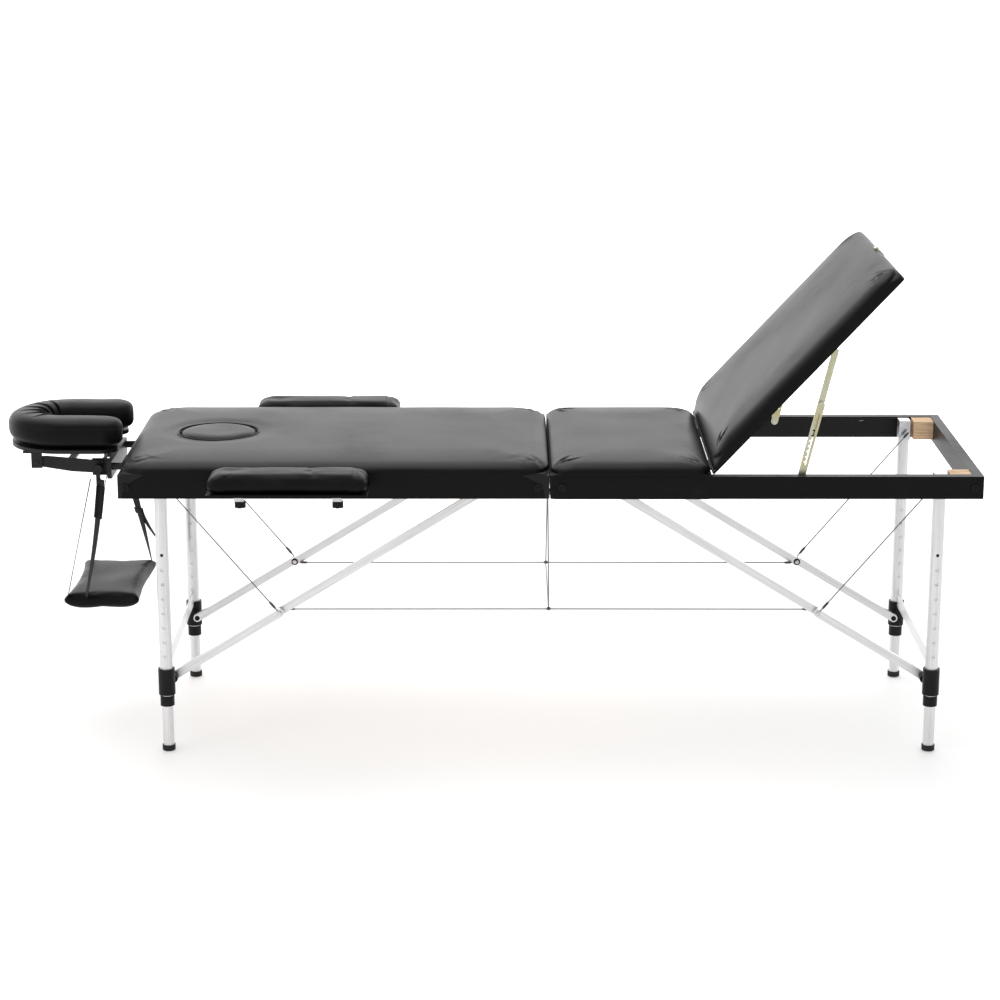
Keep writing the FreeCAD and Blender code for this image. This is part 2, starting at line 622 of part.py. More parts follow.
# ---------------------------------------------------------------- armrests
KNOB_Z = 594.0
NOTCH_RING = 13.2     # radius on which the grip notches of the knobs lie
for which, s, mid_x in (("near", -1, NEAR_ARM_X), ("far", 1, FAR_ARM_X)):
    y_in = P.arm_in if s > 0 else -P.arm_in - P.arm_w
    board = box(("$arm_len - 8", "$arm_w - 6", 6.0), (mid_x - P.arm_len / 2 + 4, y_in + 3, "$arm_low - 6"))
    posts, knobs = [], []
    out = s * (P.arm_in + 70)
    knob_y = out - s * 28
    for d in SIDES:
        x = mid_x + d * ARM_POST_HALF
        way = "-y" if s > 0 else "y"
        block = box((20, 60, 16), (x - 10, min(out, out - s * 60), 600))
        posts.append(join(rod(ARM_POST_R, 92, (x, out - s * 5, ARM_POST_Z), way), block))
    holes = [rod(5.0, 30, (mid_x + d * ARM_POST_HALF, knob_y, 590)) for d in SIDES]
    node(f"{which}_arm_board", board)
    node(f"{which}_arm_posts", *[cut(post, hole) for post, hole in zip(posts, holes)])
    cushion = box(("$arm_len", "$arm_w", "$arm_pad_h"), (mid_x - P.arm_len / 2, y_in, "$arm_low + 0.2"))
    arm_top = level(P.arm_low + 0.2 + P.arm_pad_h)
    node(f"{which}_arm_pad", soften(cushion, 12.0, lambda e: arm_top(e) or upright(e)))
    for d, tail in zip(SIDES, ("left", "right")):
        x = mid_x + d * ARM_POST_HALF
        stem = rod(4.6, 14, (x, knob_y, KNOB_Z - 0.5))
        grip = rod(12.0, 13, (x, knob_y, KNOB_Z - 13))
        notches = []
        for n in range(6):
            around = n * math.pi / 3
            spot = (x + NOTCH_RING * math.cos(around), knob_y + NOTCH_RING * math.sin(around), KNOB_Z - 14)
            notches.append(rod(3.0, 15, spot))
        node(f"{which}_arm_knob_{tail}", cut(join(stem, grip), *notches))

# ---------------------------------------------------------------- face cradle
ARM_X = -1000.0       # pivot of the side arms, next to the head rail
TIP_X = -1137.0       # rivet at the arms' far end
TIP_Z = 617.0
ARM_Z = 606.0
posts = [rod("$post_r", 62, (-P.half_len - 38, s * P.post_y, "$post_z"), "x") for s in SIDES]
cross = box((10, 2 * P.post_y + 30, 38), (-P.half_len - 48, -P.post_y - 15, 586))
cheeks = [box((38, 5, 38), (ARM_X - 16, s * 84 - 2.5, 586)) for s in SIDES]
shaft_bore = rod(4.3, 240, (ARM_X, -120, ARM_Z), "y")
node("cradle_posts", cut(join(cross, *posts, *cheeks), shaft_bore))
arms = []
for s in SIDES:
    outline = [(ARM_X + 10, ARM_Z + 14), (ARM_X + 10, ARM_Z - 14), (ARM_X - 60, ARM_Z - 10),
               (TIP_X + 8, TIP_Z - 10), (TIP_X - 10, TIP_Z - 4), (TIP_X - 10, TIP_Z + 12),
               (TIP_X + 20, TIP_Z + 14)]
    arms.append(prism(outline, 5.0, "xz", (0, s * 90.5 - 2.5, 0)))
tie = box((16, 2 * 88.5, 5), (TIP_X + 60, -88.5, TIP_Z - 8))
bores = [rod(4.3, 240, (ARM_X, -120, ARM_Z), "y"), rod(STUD_R + 0.3, 240, (TIP_X, -120, TIP_Z), "y")]
node("cradle_arms", cut(join(*arms, tie), *bores))
LIP_Y = 97.0
rim = []
for s in SIDES:
    rim.append(box((24, 4, 34), (TIP_X - 12, s * LIP_Y - 2, TIP_Z - 12)))
plate = box((196, 2 * LIP_Y + 4, 5), (TIP_X - 30, -LIP_Y - 2, P.cushion_low - 13.5))
mouth = box((160, 70, 20), (TIP_X + 40, -35, P.cushion_low - 20))
for s in SIDES:
    rim.append(rod(6.0, 2.2, (TIP_X, s * (LIP_Y + 2), TIP_Z), "y" if s > 0 else "-y"))
    rim.append(rod(STUD_R, 8.0, (TIP_X, s * (LIP_Y + 1), TIP_Z), "-y" if s > 0 else "y"))


def horseshoe(low, height, far_r, gap_r, arm_end):
    """A U of given outer and inner radius about the cushion's middle, open towards the table."""
    mean, wide = (far_r + gap_r) / 2, (far_r - gap_r) / 2
    cx = -P.cushion_mid_x
    outline = new("Sketcher::SketchObject", "u_shape")
    z_up = Vector(0, 0, 1)
    ends = [Vector(arm_end, t * mean, 0) for t in SIDES]
    for radius in (far_r, gap_r):
        circle = Part.Circle(Vector(cx, 0, 0), z_up, radius)
        outline.addGeometry(Part.ArcOfCircle(circle, math.pi / 2, 3 * math.pi / 2))
    for end in ends:
        outline.addGeometry(Part.ArcOfCircle(Part.Circle(end, z_up, wide), -math.pi / 2, math.pi / 2))
        for offset in SIDES:
            y = end.y + offset * wide
            outline.addGeometry(Part.LineSegment(Vector(cx, y, 0), Vector(arm_end, y, 0)))
    obj = new("Part::Extrusion", "u_body")
    obj.Base = outline
    obj.DirMode = "Custom"
    obj.Dir = z_up
    obj.Solid = True
    bind(obj, "LengthFwd", height)
    holder = new("Part::Compound", "held")
    holder.Links = [obj]
    return put(holder, (0, 0, low))


cushion = horseshoe("$cushion_low", "$cushion_h", P.cushion_r, P.cushion_gap_r, -991.0)
under, over = level(P.cushion_low), level(P.cushion_low + P.cushion_h)
node("face_cushion", soften(cushion, 18.0, lambda e: under(e) or over(e)))
cushion_base = horseshoe(P.cushion_low - 8.5, 8.0, P.cushion_r - 8, P.cushion_gap_r + 8, -997.0)
node("cradle_platform", cut(join(plate, *rim), mouth), cushion_base)
shaft = rod(4.0, 204, (ARM_X, -102, ARM_Z), "y")
handle = box((9, 8, 58), (ARM_X - 4.5, -112, ARM_Z - 52))
boss = rod(9.0, 10, (ARM_X, -113, ARM_Z), "y")
nut = rod(8.0, 6, (ARM_X, 96, ARM_Z), "y")
node("cam_lever", join(shaft, handle, boss, nut))

# ---------------------------------------------------------------- hanging arm shelf
shelf = box(("$shelf_l", "$shelf_w", "$shelf_t"), ("-$shelf_x - $shelf_l/2", "-$shelf_w/2 + 20", "$shelf_z"))
node("arm_shelf", soften(shelf, 12.0, lambda e: True))
STRAP_W = 22.0
STRAP_T = 1.6
STRAP_LIFT = 3.5      # the tilted ends stay clear of the shelf
shelf_top = P.shelf_z + P.shelf_t
STRAP_RUNS = (
    ((-1016, -118, 584), (-1072, -126, shelf_top + STRAP_LIFT)),
    ((-992, -118, 584), (-1034, -132, shelf_top + STRAP_LIFT)),
    ((-1004, 118, 584), (-1070, 166, shelf_top + STRAP_LIFT)),
    ((-980, 118, 584), (-928, 166, shelf_top + STRAP_LIFT)),
)
straps = []
for upper, lower in STRAP_RUNS:
    way = Vector(*lower) - Vector(*upper)
    turn = Rotation(Vector(0, 0, 1), way)
    corner = Vector(*upper) - turn.multVec(Vector(STRAP_W / 2, STRAP_T / 2, 0))
    straps.append(box((STRAP_W, STRAP_T, way.Length), tuple(corner), turn))
node("shelf_straps", *straps)

# ---------------------------------------------------------------- check and export
doc.recompute()
for label, obj in nodes.items():
    shape = obj.Shape
    bad = [o.Name for o in doc.Objects if {"Invalid", "Error"} & set(o.State)]
    if bad or shape.isNull() or not shape.isValid() or not shape.Solids:
        raise RuntimeError(f"{label}: bad shape, invalid objects {bad}")
whole = Part.makeCompound([obj.Shape for obj in nodes.values()]).BoundBox
print("nodes", len(nodes), "box", [round(v, 2) for v in (whole.XMin, whole.XMax, whole.YMin, whole.YMax,
                                                     whole.ZMin, whole.ZMax)])
print("brace", "mid", mid, "upper", round(upper_len, 2), "lower", round(lower_len, 2))
print("strut", "top", strut_top, "angle", round(math.degrees(math.atan2(run.z, run.x)), 3))
for label, obj in nodes.items():
    obj.Shape.exportStep(f"parts/{label}.step")
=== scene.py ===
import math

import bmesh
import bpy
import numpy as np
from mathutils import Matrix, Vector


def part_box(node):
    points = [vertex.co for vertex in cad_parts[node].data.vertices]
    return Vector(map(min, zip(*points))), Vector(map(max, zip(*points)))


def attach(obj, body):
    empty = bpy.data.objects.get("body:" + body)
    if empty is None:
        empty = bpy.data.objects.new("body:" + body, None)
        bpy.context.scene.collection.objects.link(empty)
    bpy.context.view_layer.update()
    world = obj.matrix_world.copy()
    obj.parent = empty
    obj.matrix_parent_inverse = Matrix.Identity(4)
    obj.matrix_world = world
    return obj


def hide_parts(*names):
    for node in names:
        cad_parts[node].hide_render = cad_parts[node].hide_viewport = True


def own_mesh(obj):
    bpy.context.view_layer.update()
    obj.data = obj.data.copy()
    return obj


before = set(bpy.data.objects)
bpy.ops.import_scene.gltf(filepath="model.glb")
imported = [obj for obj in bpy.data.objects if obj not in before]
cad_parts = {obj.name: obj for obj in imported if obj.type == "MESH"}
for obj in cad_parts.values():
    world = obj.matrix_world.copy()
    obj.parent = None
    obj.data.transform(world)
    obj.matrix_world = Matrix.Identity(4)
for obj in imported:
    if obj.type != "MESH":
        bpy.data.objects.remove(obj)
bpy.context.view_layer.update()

# %% [markdown]
# # A folding massage table, one piece at a time
# The imported model already holds every hard part in its true size and place: tubes, braces, brackets, boards.
# What it lacks is the soft skin. This lesson sews the covers, stuffs the cushions, strings the cables and straps,
# and gives each surface a finish made of nodes. The finished table has to stay inside it, give or take a little
# cloth.

# %% Where the main parts lie
def span(node):
    """The lowest and highest corner of a part, as two arrays."""
    low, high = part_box(node)
    return np.array(low), np.array(high)


FOLD_X = float(sum(corner[0] for corner in span("hinge_pins")) / 2)     # the line on which the table folds
RAIL_LOW = float(span("head_skirt")[0][2])
DECK_TOP = float(span("head_frame")[1][2])
PAD_TOP = float(span("head_pad")[1][2])
HALF_WIDTH = float(span("head_skirt")[1][1])
print("fold line x", round(FOLD_X, 4), "rails from", round(RAIL_LOW, 3), "to deck", round(DECK_TOP, 3))

# %% [markdown]
# ## Camera, floor and light
# The table stands in a white studio. A long lens a little above the pads looks down its long side, so the
# near and far legs almost line up. The floor sweeps up behind into one white sheet without a corner. Two large
# soft lamps and a white sky make the long soft gleam on the vinyl; a small hard lamp would make dots instead.
# The sky is a little dimmer in front than above and behind, so that upright sides stay dark and the tops shine.

# %% The camera
camera = bpy.data.objects.new("camera", bpy.data.cameras.new("camera"))
bpy.context.collection.objects.link(camera)
camera.location = (0.0436, -5.550, 1.9645)
LOOK_DOWN = 0.257                                      # angle below the horizon, radians
camera.rotation_euler = (math.pi / 2 - LOOK_DOWN, 0.0, 0.001)
camera.data.lens = 91.0
camera.data.sensor_width = 36.0
bpy.context.scene.camera = camera
print("camera looks down", round(math.degrees(LOOK_DOWN), 1), "degrees from", tuple(camera.location))

# %% One way to turn grids of points into meshes
def lay_mesh(name, points, quads, uv=None):
    """A mesh object from an array of points and an array of four-cornered faces, all smooth."""
    mesh = bpy.data.meshes.new(name)
    mesh.vertices.add(len(points))
    mesh.vertices.foreach_set("co", np.asarray(points, np.float32).ravel())
    mesh.loops.add(quads.size)
    mesh.loops.foreach_set("vertex_index", quads.ravel().astype(np.int32))
    mesh.polygons.add(len(quads))
    mesh.polygons.foreach_set("loop_start", np.arange(0, quads.size, 4, dtype=np.int32))
    mesh.polygons.foreach_set("use_smooth", np.ones(len(quads), bool))
    mesh.update(calc_edges=True)
    if uv is not None:
        layer = mesh.uv_layers.new(name="along_across")
        layer.data.foreach_set("uv", np.asarray(uv, np.float32).ravel())
    piece = bpy.data.objects.new(name, mesh)
    bpy.context.collection.objects.link(piece)
    return piece


def close_mesh(piece, gap=1e-5):
    """Join points that lie on each other, drop faces without area, and turn every face outwards."""
    work = bmesh.new()
    work.from_mesh(piece.data)
    bmesh.ops.remove_doubles(work, verts=work.verts, dist=gap)
    bmesh.ops.dissolve_degenerate(work, edges=work.edges, dist=gap)
    bmesh.ops.recalc_face_normals(work, faces=work.faces)
    work.to_mesh(piece.data)
    work.free()
    return piece


def skin(name, grid, ring=False, tube=False, size=None):
    """A surface over a grid of points, rows by columns. Ring joins the last column to the first, tube joins
    the last row to the first. Size is the width and length of the flat sheet, kept as its UV map."""
    rows, columns = grid.shape[:2]
    row, column = np.meshgrid(np.arange(rows - (not tube)), np.arange(columns - (not ring)), indexing="ij")
    row, column = row.ravel(), column.ravel()
    down, right = (row + 1) % rows, (column + 1) % columns
    quads = np.stack([row * columns + column, row * columns + right,
                      down * columns + right, down * columns + column], axis=1)
    wide, tall = size or (1.0, 1.0)
    u = np.stack([column, column + 1, column + 1, column], axis=1) * wide / columns
    v = np.stack([row, row, row + 1, row + 1], axis=1) * tall / rows
    return lay_mesh(name, grid.reshape(-1, 3), quads, np.stack([u, v], axis=2))


print("a grid of 3 by 4 points gives", (3 - 1) * (4 - 1), "faces")

# %% The white floor that sweeps up behind
def sweep_floor():
    """A sheet whose side profile is flat, then a quarter of a circle, then upright: the same profile repeated
    along X. Its height is zero, then radius times one minus the cosine of the angle, then rises evenly."""
    radius, back, side, wall = 2.6, 3.4, 9.0, 6.5
    turn = np.linspace(0.0, math.pi / 2, 24)
    y = np.concatenate([[-side, -4.0, 0.0], back + radius * np.sin(turn), [back + radius]])
    z = np.concatenate([[0.0, 0.0, 0.0], radius * (1 - np.cos(turn)), [wall]])
    x = np.linspace(-side, side, 12)
    return skin("floor", np.stack(np.broadcast_arrays(x, y[:, None], z[:, None] - 0.0006), axis=2))


floor = sweep_floor()
print("floor", [round(v, 2) for v in floor.dimensions])

# %% Soft lamps and a white sky
def lamp(name, place, aim, size, power):
    """A square soft lamp at a place, turned towards the aim."""
    light = bpy.data.lights.new(name, "AREA")
    light.shape, light.size, light.energy = "SQUARE", size, power
    thing = bpy.data.objects.new(name, light)
    bpy.context.collection.objects.link(thing)
    thing.location = place
    way = np.array(aim, float) - np.array(place, float)
    thing.rotation_euler = (math.atan2(math.hypot(way[0], way[1]), -way[2]), 0.0, math.atan2(-way[0], way[1]))
    return thing


sky = bpy.data.worlds.new("white studio")
bpy.context.scene.world = sky
sky.use_nodes = True
nodes, links = sky.node_tree.nodes, sky.node_tree.links
background = nodes["Background"]
background.inputs["Color"].default_value = (1.0, 1.0, 1.0, 1.0)
place, parts, fade = (nodes.new(f"ShaderNode{kind}") for kind in ("TexCoord", "SeparateXYZ", "MapRange"))
for socket, value in (("From Min", -0.75), ("From Max", 0.25), ("To Min", 0.86), ("To Max", 1.0)):
    fade.inputs[socket].default_value = value
links.new(place.outputs["Generated"], parts.inputs[0])
links.new(parts.outputs["Y"], fade.inputs["Value"])
links.new(fade.outputs["Result"], background.inputs["Strength"])
bpy.context.scene.view_settings.view_transform = "Standard"
lamps = [lamp("overhead", (-0.6, 0.9, 3.6), (0.0, 0.2, 0.6), 2.6, 60.0),
         lamp("left", (-3.6, -2.4, 2.4), (0.0, 0.0, 0.6), 1.8, 24.0)]
print("lamps", [thing.name for thing in lamps])

# %% [markdown]
# ## Writing finishes as sums
# A finish is a small network of nodes. Drawn by hand it becomes a tangle, so one class wraps an output socket
# and lets Python's plus, minus, times and power add the Math nodes. Another holds the material and adds any
# other node: first its settings, then its inputs. Colours are mixed by the Mix node, never by a Math node,
# because that would turn them grey.

# %% A wire and a finish
class Wire:
    """One output socket of a finish. Sums on it become Math nodes."""

    def __init__(self, finish, socket):
        self.finish, self.socket = finish, socket

    def sum(self, operation, *values):
        return self.finish.add("ShaderNodeMath", {"operation": operation}, dict(enumerate(values)))

    def __add__(self, other):
        return self.sum("ADD", self, other)

    def __sub__(self, other):
        return self.sum("SUBTRACT", self, other)

    def __rsub__(self, other):
        return self.sum("SUBTRACT", other, self)

    def __mul__(self, other):
        return self.sum("MULTIPLY", self, other)

    def __pow__(self, other):
        return self.sum("POWER", self, other)

    def __abs__(self):
        return self.sum("ABSOLUTE", self)

    def __lt__(self, other):
        return self.sum("LESS_THAN", self, other)

    def __gt__(self, other):
        return self.sum("GREATER_THAN", self, other)

    __radd__, __rmul__ = __add__, __mul__

    def step(self, low, high):
        """0 below low, 1 above high, and a smooth rise between."""
        return self.finish.add("ShaderNodeMapRange", {"interpolation_type": "SMOOTHSTEP"},
                               {"Value": self, "From Min": low, "From Max": high})


class Finish:
    """A material with one Principled shader, built up node by node."""

    def __init__(self, name, **even):
        self.material = bpy.data.materials.new(name)
        self.material.use_nodes = True
        self.tree = self.material.node_tree
        self.shader = self.tree.nodes["Principled BSDF"]
        for socket, value in even.items():
            self.shader.inputs[socket.replace("_", " ")].default_value = value
        self.spot = self.add("ShaderNodeTexCoord", out="Object")

    def add(self, kind, settings=None, inputs=None, out=0):
        """Any node: its settings first, then the values or wires of its inputs. Returns one output's wire."""
        node = self.tree.nodes.new(kind)
        for key, value in (settings or {}).items():
            if key == "stops":
                ramp = node.color_ramp
                while len(ramp.elements) < len(value):
                    ramp.elements.new(0.5)
                for element, (place, colour) in zip(ramp.elements, value):
                    element.position, element.color = place, (*colour, 1.0)
            else:
                setattr(node, key, value)
        for key, value in (inputs or {}).items():
            self.feed(node.inputs[key], value)
        return Wire(self, node.outputs[out])

    def feed(self, socket, value):
        if isinstance(value, Wire):
            self.tree.links.new(value.socket, socket)
        elif hasattr(value, "__len__") and socket.type == "RGBA":
            socket.default_value = (*value[:3], 1.0)
        else:
            socket.default_value = value

    def set(self, **wires):
        for socket, value in wires.items():
            self.feed(self.shader.inputs[socket.replace("_", " ")], value)
        return self

    def axis(self, number):
        """The object's own X, Y or Z at each point."""
        return self.add("ShaderNodeSeparateXYZ", inputs={0: self.spot}, out=number)

    def stretch(self, x, y, z, turn=(0.0, 0.0, 0.0)):
        """The object's own coordinates, turned, then stretched along each axis."""
        turned = self.add("ShaderNodeMapping", inputs={"Vector": self.spot, "Rotation": turn})
        return self.add("ShaderNodeVectorMath", {"operation": "MULTIPLY"}, {0: turned, 1: (x, y, z)})

    def noise(self, scale, detail=3.0, where=None, rough=0.5):
        return self.add("ShaderNodeTexNoise", inputs={"Vector": where or self.spot, "Scale": scale,
                                                      "Detail": detail, "Roughness": rough})

    def pebbles(self, scale):
        """Distance to the nearest cell centre."""
        return self.add("ShaderNodeTexVoronoi", inputs={"Vector": self.spot, "Scale": scale}, out="Distance")

    def sheet(self):
        """Two wires: the place across and along the flat sheet, from its UV map."""
        place = self.add("ShaderNodeUVMap", {"uv_map": "along_across"})
        return [self.add("ShaderNodeSeparateXYZ", inputs={0: place}, out=number) for number in (0, 1)]

    def sine(self, value):
        return self.add("ShaderNodeMath", {"operation": "SINE"}, {0: value})

    def blend(self, share, first, second):
        """The first colour where share is 0, the second where it is 1."""
        return self.add("ShaderNodeMix", {"data_type": "RGBA"}, {0: share, 6: first, 7: second}, out=2)

    def raise_by(self, height, depth):
        """Bump: depth is how far, in metres, a height of 1 stands up."""
        return self.add("ShaderNodeBump", out="Normal",
                        inputs={"Height": height, "Distance": depth, "Strength": 1.0})


print("Wire and Finish are ready")

# %% [markdown]
# ## The finishes
# Black upholstery vinyl is a printed plastic skin on cloth. It is nearly black, but it shines like a soft mirror
# at low angles, so the tops of the pads look grey and the sides black. A fine pebble grain breaks the gleam up,
# and handling leaves faint pale rubs. The grain comes from cell noise about a millimetre wide, the rubs from
# two broad noises multiplied.

# %% Upholstery vinyl
PEBBLES = 820.0                                        # cells of the vinyl's grain per metre


def make_vinyl(name, dark=0.0034, grain=0.00014, gloss=0.35):
    """Grain: cell distance, sharpened, with a little fine noise. Rubs: a broad noise above its middle times a
    streaky one, lifting the colour a touch and the roughness more."""
    vinyl = Finish(name, Specular_IOR_Level=0.10)
    cells = vinyl.pebbles(PEBBLES) ** 1.5
    fine = vinyl.noise(2600.0, 2.0)
    broad = vinyl.noise(5.5, 4.0)
    streaks = vinyl.noise(1.0, 5.0, vinyl.stretch(16.0, 70.0, 30.0), 0.7)
    rub = broad.step(0.47, 0.72) * streaks.step(0.42, 0.74)
    colour = vinyl.blend(rub, (dark, dark, dark * 1.12), (dark * 2.2, dark * 2.2, dark * 2.3))
    vinyl.set(Base_Color=colour, Roughness=gloss + rub * 0.10 + (broad - 0.5) * 0.10,
              Normal=vinyl.raise_by(cells * 0.8 + fine * 0.3, grain))
    return vinyl.material


vinyl = make_vinyl("black vinyl")
cushion_vinyl = make_vinyl("softer vinyl", dark=0.0032, gloss=0.38, grain=0.00018)
print("vinyl", len(vinyl.node_tree.nodes), "nodes")

# %% [markdown]
# The legs and braces are satin drawn aluminium tube. Drawing through the die leaves hair lines
# along each length, so the noise is stretched a hundred times along the piece. The braces lean, so their noise
# is turned by the same angle first.

# %% Drawn aluminium
def make_aluminium(name, turn=(0.0, 0.0, 0.0), stretch=(900.0, 900.0, 7.0), dust=0.5):
    """Hair lines: noise stretched along the piece, in colour, roughness and height. Dust: a broad noise."""
    metal = Finish(name, Metallic=1.0, Specular_IOR_Level=0.5)
    lines = metal.noise(1.0, 3.0, metal.stretch(*stretch, turn))
    broad = metal.noise(14.0, 4.0)
    colour = metal.blend(lines.step(0.25, 0.8), (0.62, 0.62, 0.63), (0.82, 0.82, 0.825))
    marks = metal.noise(90.0, 6.0, rough=0.7).step(0.66, 0.80)
    metal.set(Base_Color=metal.blend(marks * dust, colour, (0.52, 0.52, 0.51)),
              Roughness=0.30 + broad * 0.14 + lines * 0.08, Normal=metal.raise_by(lines, 0.00003))
    return metal.material


BRACE_LEAN = math.atan2(span("head_upper_braces")[1][2] - span("head_upper_braces")[0][2],
                        span("head_upper_braces")[1][0] - span("head_upper_braces")[0][0])
aluminium = make_aluminium("aluminium tube")
head_brace_metal = make_aluminium("aluminium brace, head", (0.0, BRACE_LEAN, 0.0), (7.0, 900.0, 900.0))
foot_brace_metal = make_aluminium("aluminium brace, foot", (0.0, -BRACE_LEAN, 0.0), (7.0, 900.0, 900.0))
print("braces lean", round(math.degrees(BRACE_LEAN), 1), "degrees")

# %% [markdown]
# The other metals: yellow zinc on the folding struts, where a thin film drifts between straw, green and grey;
# bright steel on screws and rivets; black paint on the cradle's brackets. Plastics: the moulded housings are
# slightly pitted and dull, the foot caps rubbery.

# %% Zinc, steel, paint and plastics
def make_zinc():
    """Yellow film: three colours on a ramp driven by a slow noise, with drag lines and dull spots."""
    zinc = Finish("yellow zinc", Metallic=1.0)
    drift = zinc.noise(26.0, 4.0, zinc.stretch(1.0, 1.0, 0.45))
    film = zinc.add("ShaderNodeValToRGB", {"stops": [(0.30, (0.34, 0.30, 0.17)), (0.46, (0.55, 0.47, 0.25)),
                                                     (0.58, (0.50, 0.50, 0.36)), (0.74, (0.62, 0.60, 0.52))]},
                    {"Fac": drift})
    spots = zinc.noise(420.0, 5.0).step(0.55, 0.75)
    zinc.set(Base_Color=zinc.blend(spots * 0.5, film, (0.22, 0.19, 0.12)), Roughness=0.30 + spots * 0.25,
             Normal=zinc.raise_by(zinc.noise(700.0, 3.0), 0.00004))
    return zinc.material


def make_plain(name, light, dark, gloss, pits, scale, metallic=0.0, **even):
    """Two close colours swayed by a broad noise, fine pits in the height, and a roughness that follows both."""
    plain = Finish(name, Metallic=metallic, **even)
    broad, fine = plain.noise(30.0, 4.0), plain.noise(scale, 3.0)
    plain.set(Base_Color=plain.blend(broad.step(0.3, 0.75), dark, light),
              Roughness=gloss + (broad - 0.5) * 0.12 + (fine - 0.5) * 0.08, Normal=plain.raise_by(fine, pits))
    return plain.material


zinc = make_zinc()
steel = make_plain("bright steel", (0.72, 0.72, 0.73), (0.46, 0.46, 0.47), 0.26, 0.00003, 900.0, 1.0)
dark_steel = make_plain("black painted steel", (0.009, 0.009, 0.010), (0.004, 0.004, 0.0045), 0.38, 0.00004, 600.0,
                        Specular_IOR_Level=0.28)
plastic = make_plain("black moulded plastic", (0.008, 0.008, 0.0085), (0.004, 0.004, 0.0045), 0.40, 0.00007, 1400.0,
                     Specular_IOR_Level=0.16)
rubber = make_plain("black rubber", (0.014, 0.014, 0.014), (0.007, 0.007, 0.007), 0.60, 0.00010, 1100.0,
                    Specular_IOR_Level=0.30)
crimp_metal = make_plain("blackened crimp", (0.16, 0.16, 0.16), (0.07, 0.07, 0.07), 0.40, 0.00005, 900.0, 1.0)
print("plain finishes", [m.name for m in (steel, dark_steel, plastic, rubber, crimp_metal)])

# %% [markdown]
# Pale wood shows where the vinyl ends: two corner blocks and the underside of the boards. Its rings are long thin
# bands along the grain. The same part also holds the rails, which are wrapped in vinyl, so one finish shows wood
# only inside the rails' inner faces and black wrap elsewhere. The mask is a product of four plain comparisons.

# %% Wood with wrapped rails
def make_wood(name, inner_y, far_x, near_x):
    """Rings: bands of a stretched noise taken five times over. Wood shows where the distance from the fold line
    lies between near_x and far_x and the distance from the middle line is under inner_y."""
    wood = Finish(name, Specular_IOR_Level=0.22)
    x, y = wood.axis(0), wood.axis(1)
    bands = wood.noise(1.0, 2.0, wood.stretch(5.0, 60.0, 85.0), 0.4) * 5.0
    rings = abs(bands.sum("FRACT", bands) - 0.5) * 2.0
    pores = wood.noise(1.0, 3.0, wood.stretch(60.0, 1500.0, 1500.0)).step(0.52, 0.70)
    tone = wood.blend(rings.step(0.1, 0.95), (0.78, 0.56, 0.36), (0.62, 0.40, 0.23))
    timber = wood.blend(pores * 0.35, tone, (0.40, 0.24, 0.13))
    away = abs(x - FOLD_X)
    bare = (abs(y) < inner_y) * (away < far_x) * (away > near_x)
    wrap = wood.pebbles(PEBBLES) ** 1.5
    wood.set(Base_Color=wood.blend(bare, (0.0045, 0.0045, 0.005), timber),
             Roughness=0.42 + bare * 0.16 + pores * 0.06,
             Normal=wood.raise_by(wrap * (1 - bare) * 0.8 + rings * bare * 0.4 + pores * bare * 0.5, 0.00016))
    return wood.material


RAIL_IN = 0.0218                                       # how thick a wrapped rail is, seen from its outer face
BLOCK_END, BLOCK_START = 0.9083, 0.0227                # where the bare wood ends and starts, from the fold line
wood = make_wood("wood and wrap", HALF_WIDTH - RAIL_IN, BLOCK_END, BLOCK_START)
print("wood", len(wood.node_tree.nodes), "nodes")

# %% [markdown]
# ## Cables
# Thin steel ropes brace the legs. On each long side one runs from a corner block down to the middle joint of the
# brace, and on along the table to the middle, where a loop hangs from the fold. All of them are tight, so each
# is one straight line, and the strands are laid in by the finish. A tube is swept along the line: a ring of
# points in the plane across the line, repeated at each step.

# %% A tube along a path
def length_of(path):
    return float(np.linalg.norm(np.diff(path, axis=0), axis=1).sum())


def close_ends(name, path, grid, wide):
    """A skin over rings along a path, with one more ring at each end that lies in the path's end point."""
    sides = grid.shape[1]
    caps = [np.broadcast_to(end, (1, sides, 3)) for end in (path[0], path[-1])]
    return close_mesh(skin(name, np.concatenate([caps[0], grid, caps[1]]), ring=True,
                           size=(wide, length_of(path))), 1e-6)


def sweep_tube(name, path, radius, sides=10):
    """Ring points are centre plus radius times cosine along one cross direction and sine along the other.
    The directions come from the path's own slope. The last ring of each end is drawn in to its centre, which
    closes the tube."""
    path = np.asarray(path, float)
    slope = np.gradient(path, axis=0)
    slope /= np.linalg.norm(slope, axis=1, keepdims=True)
    side = np.cross(slope, [0.0, 0.0, 1.0] if abs(slope[:, 2]).max() < 0.95 else [1.0, 0.0, 0.0])
    side /= np.linalg.norm(side, axis=1, keepdims=True)
    over = np.cross(side, slope)
    turn = np.linspace(0, 2 * math.pi, sides, endpoint=False)
    radius = np.broadcast_to(radius, len(path))[:, None, None]
    ring = np.cos(turn)[None, :, None] * side[:, None] + np.sin(turn)[None, :, None] * over[:, None]
    return close_ends(name, path, path[:, None] + radius * ring, 2 * math.pi * float(radius.max()))


def line(start, end, count=24):
    """Evenly spaced points from start to end."""
    share = np.linspace(0.0, 1.0, count)[:, None]
    return np.array(start, float) * (1 - share) + np.array(end, float) * share


def put_on(piece, body, finish, replaces=()):
    """Give a piece its finish, its body and the parts that it stands for."""
    piece.data.materials.clear()
    piece.data.materials.append(finish)
    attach(piece, body)
    if replaces:
        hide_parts(*replaces)
    return piece


print("a line of 24 points is", round(float(np.linalg.norm(line((0, 0, 0), (1, 0, 0))[-1])), 2), "m long")

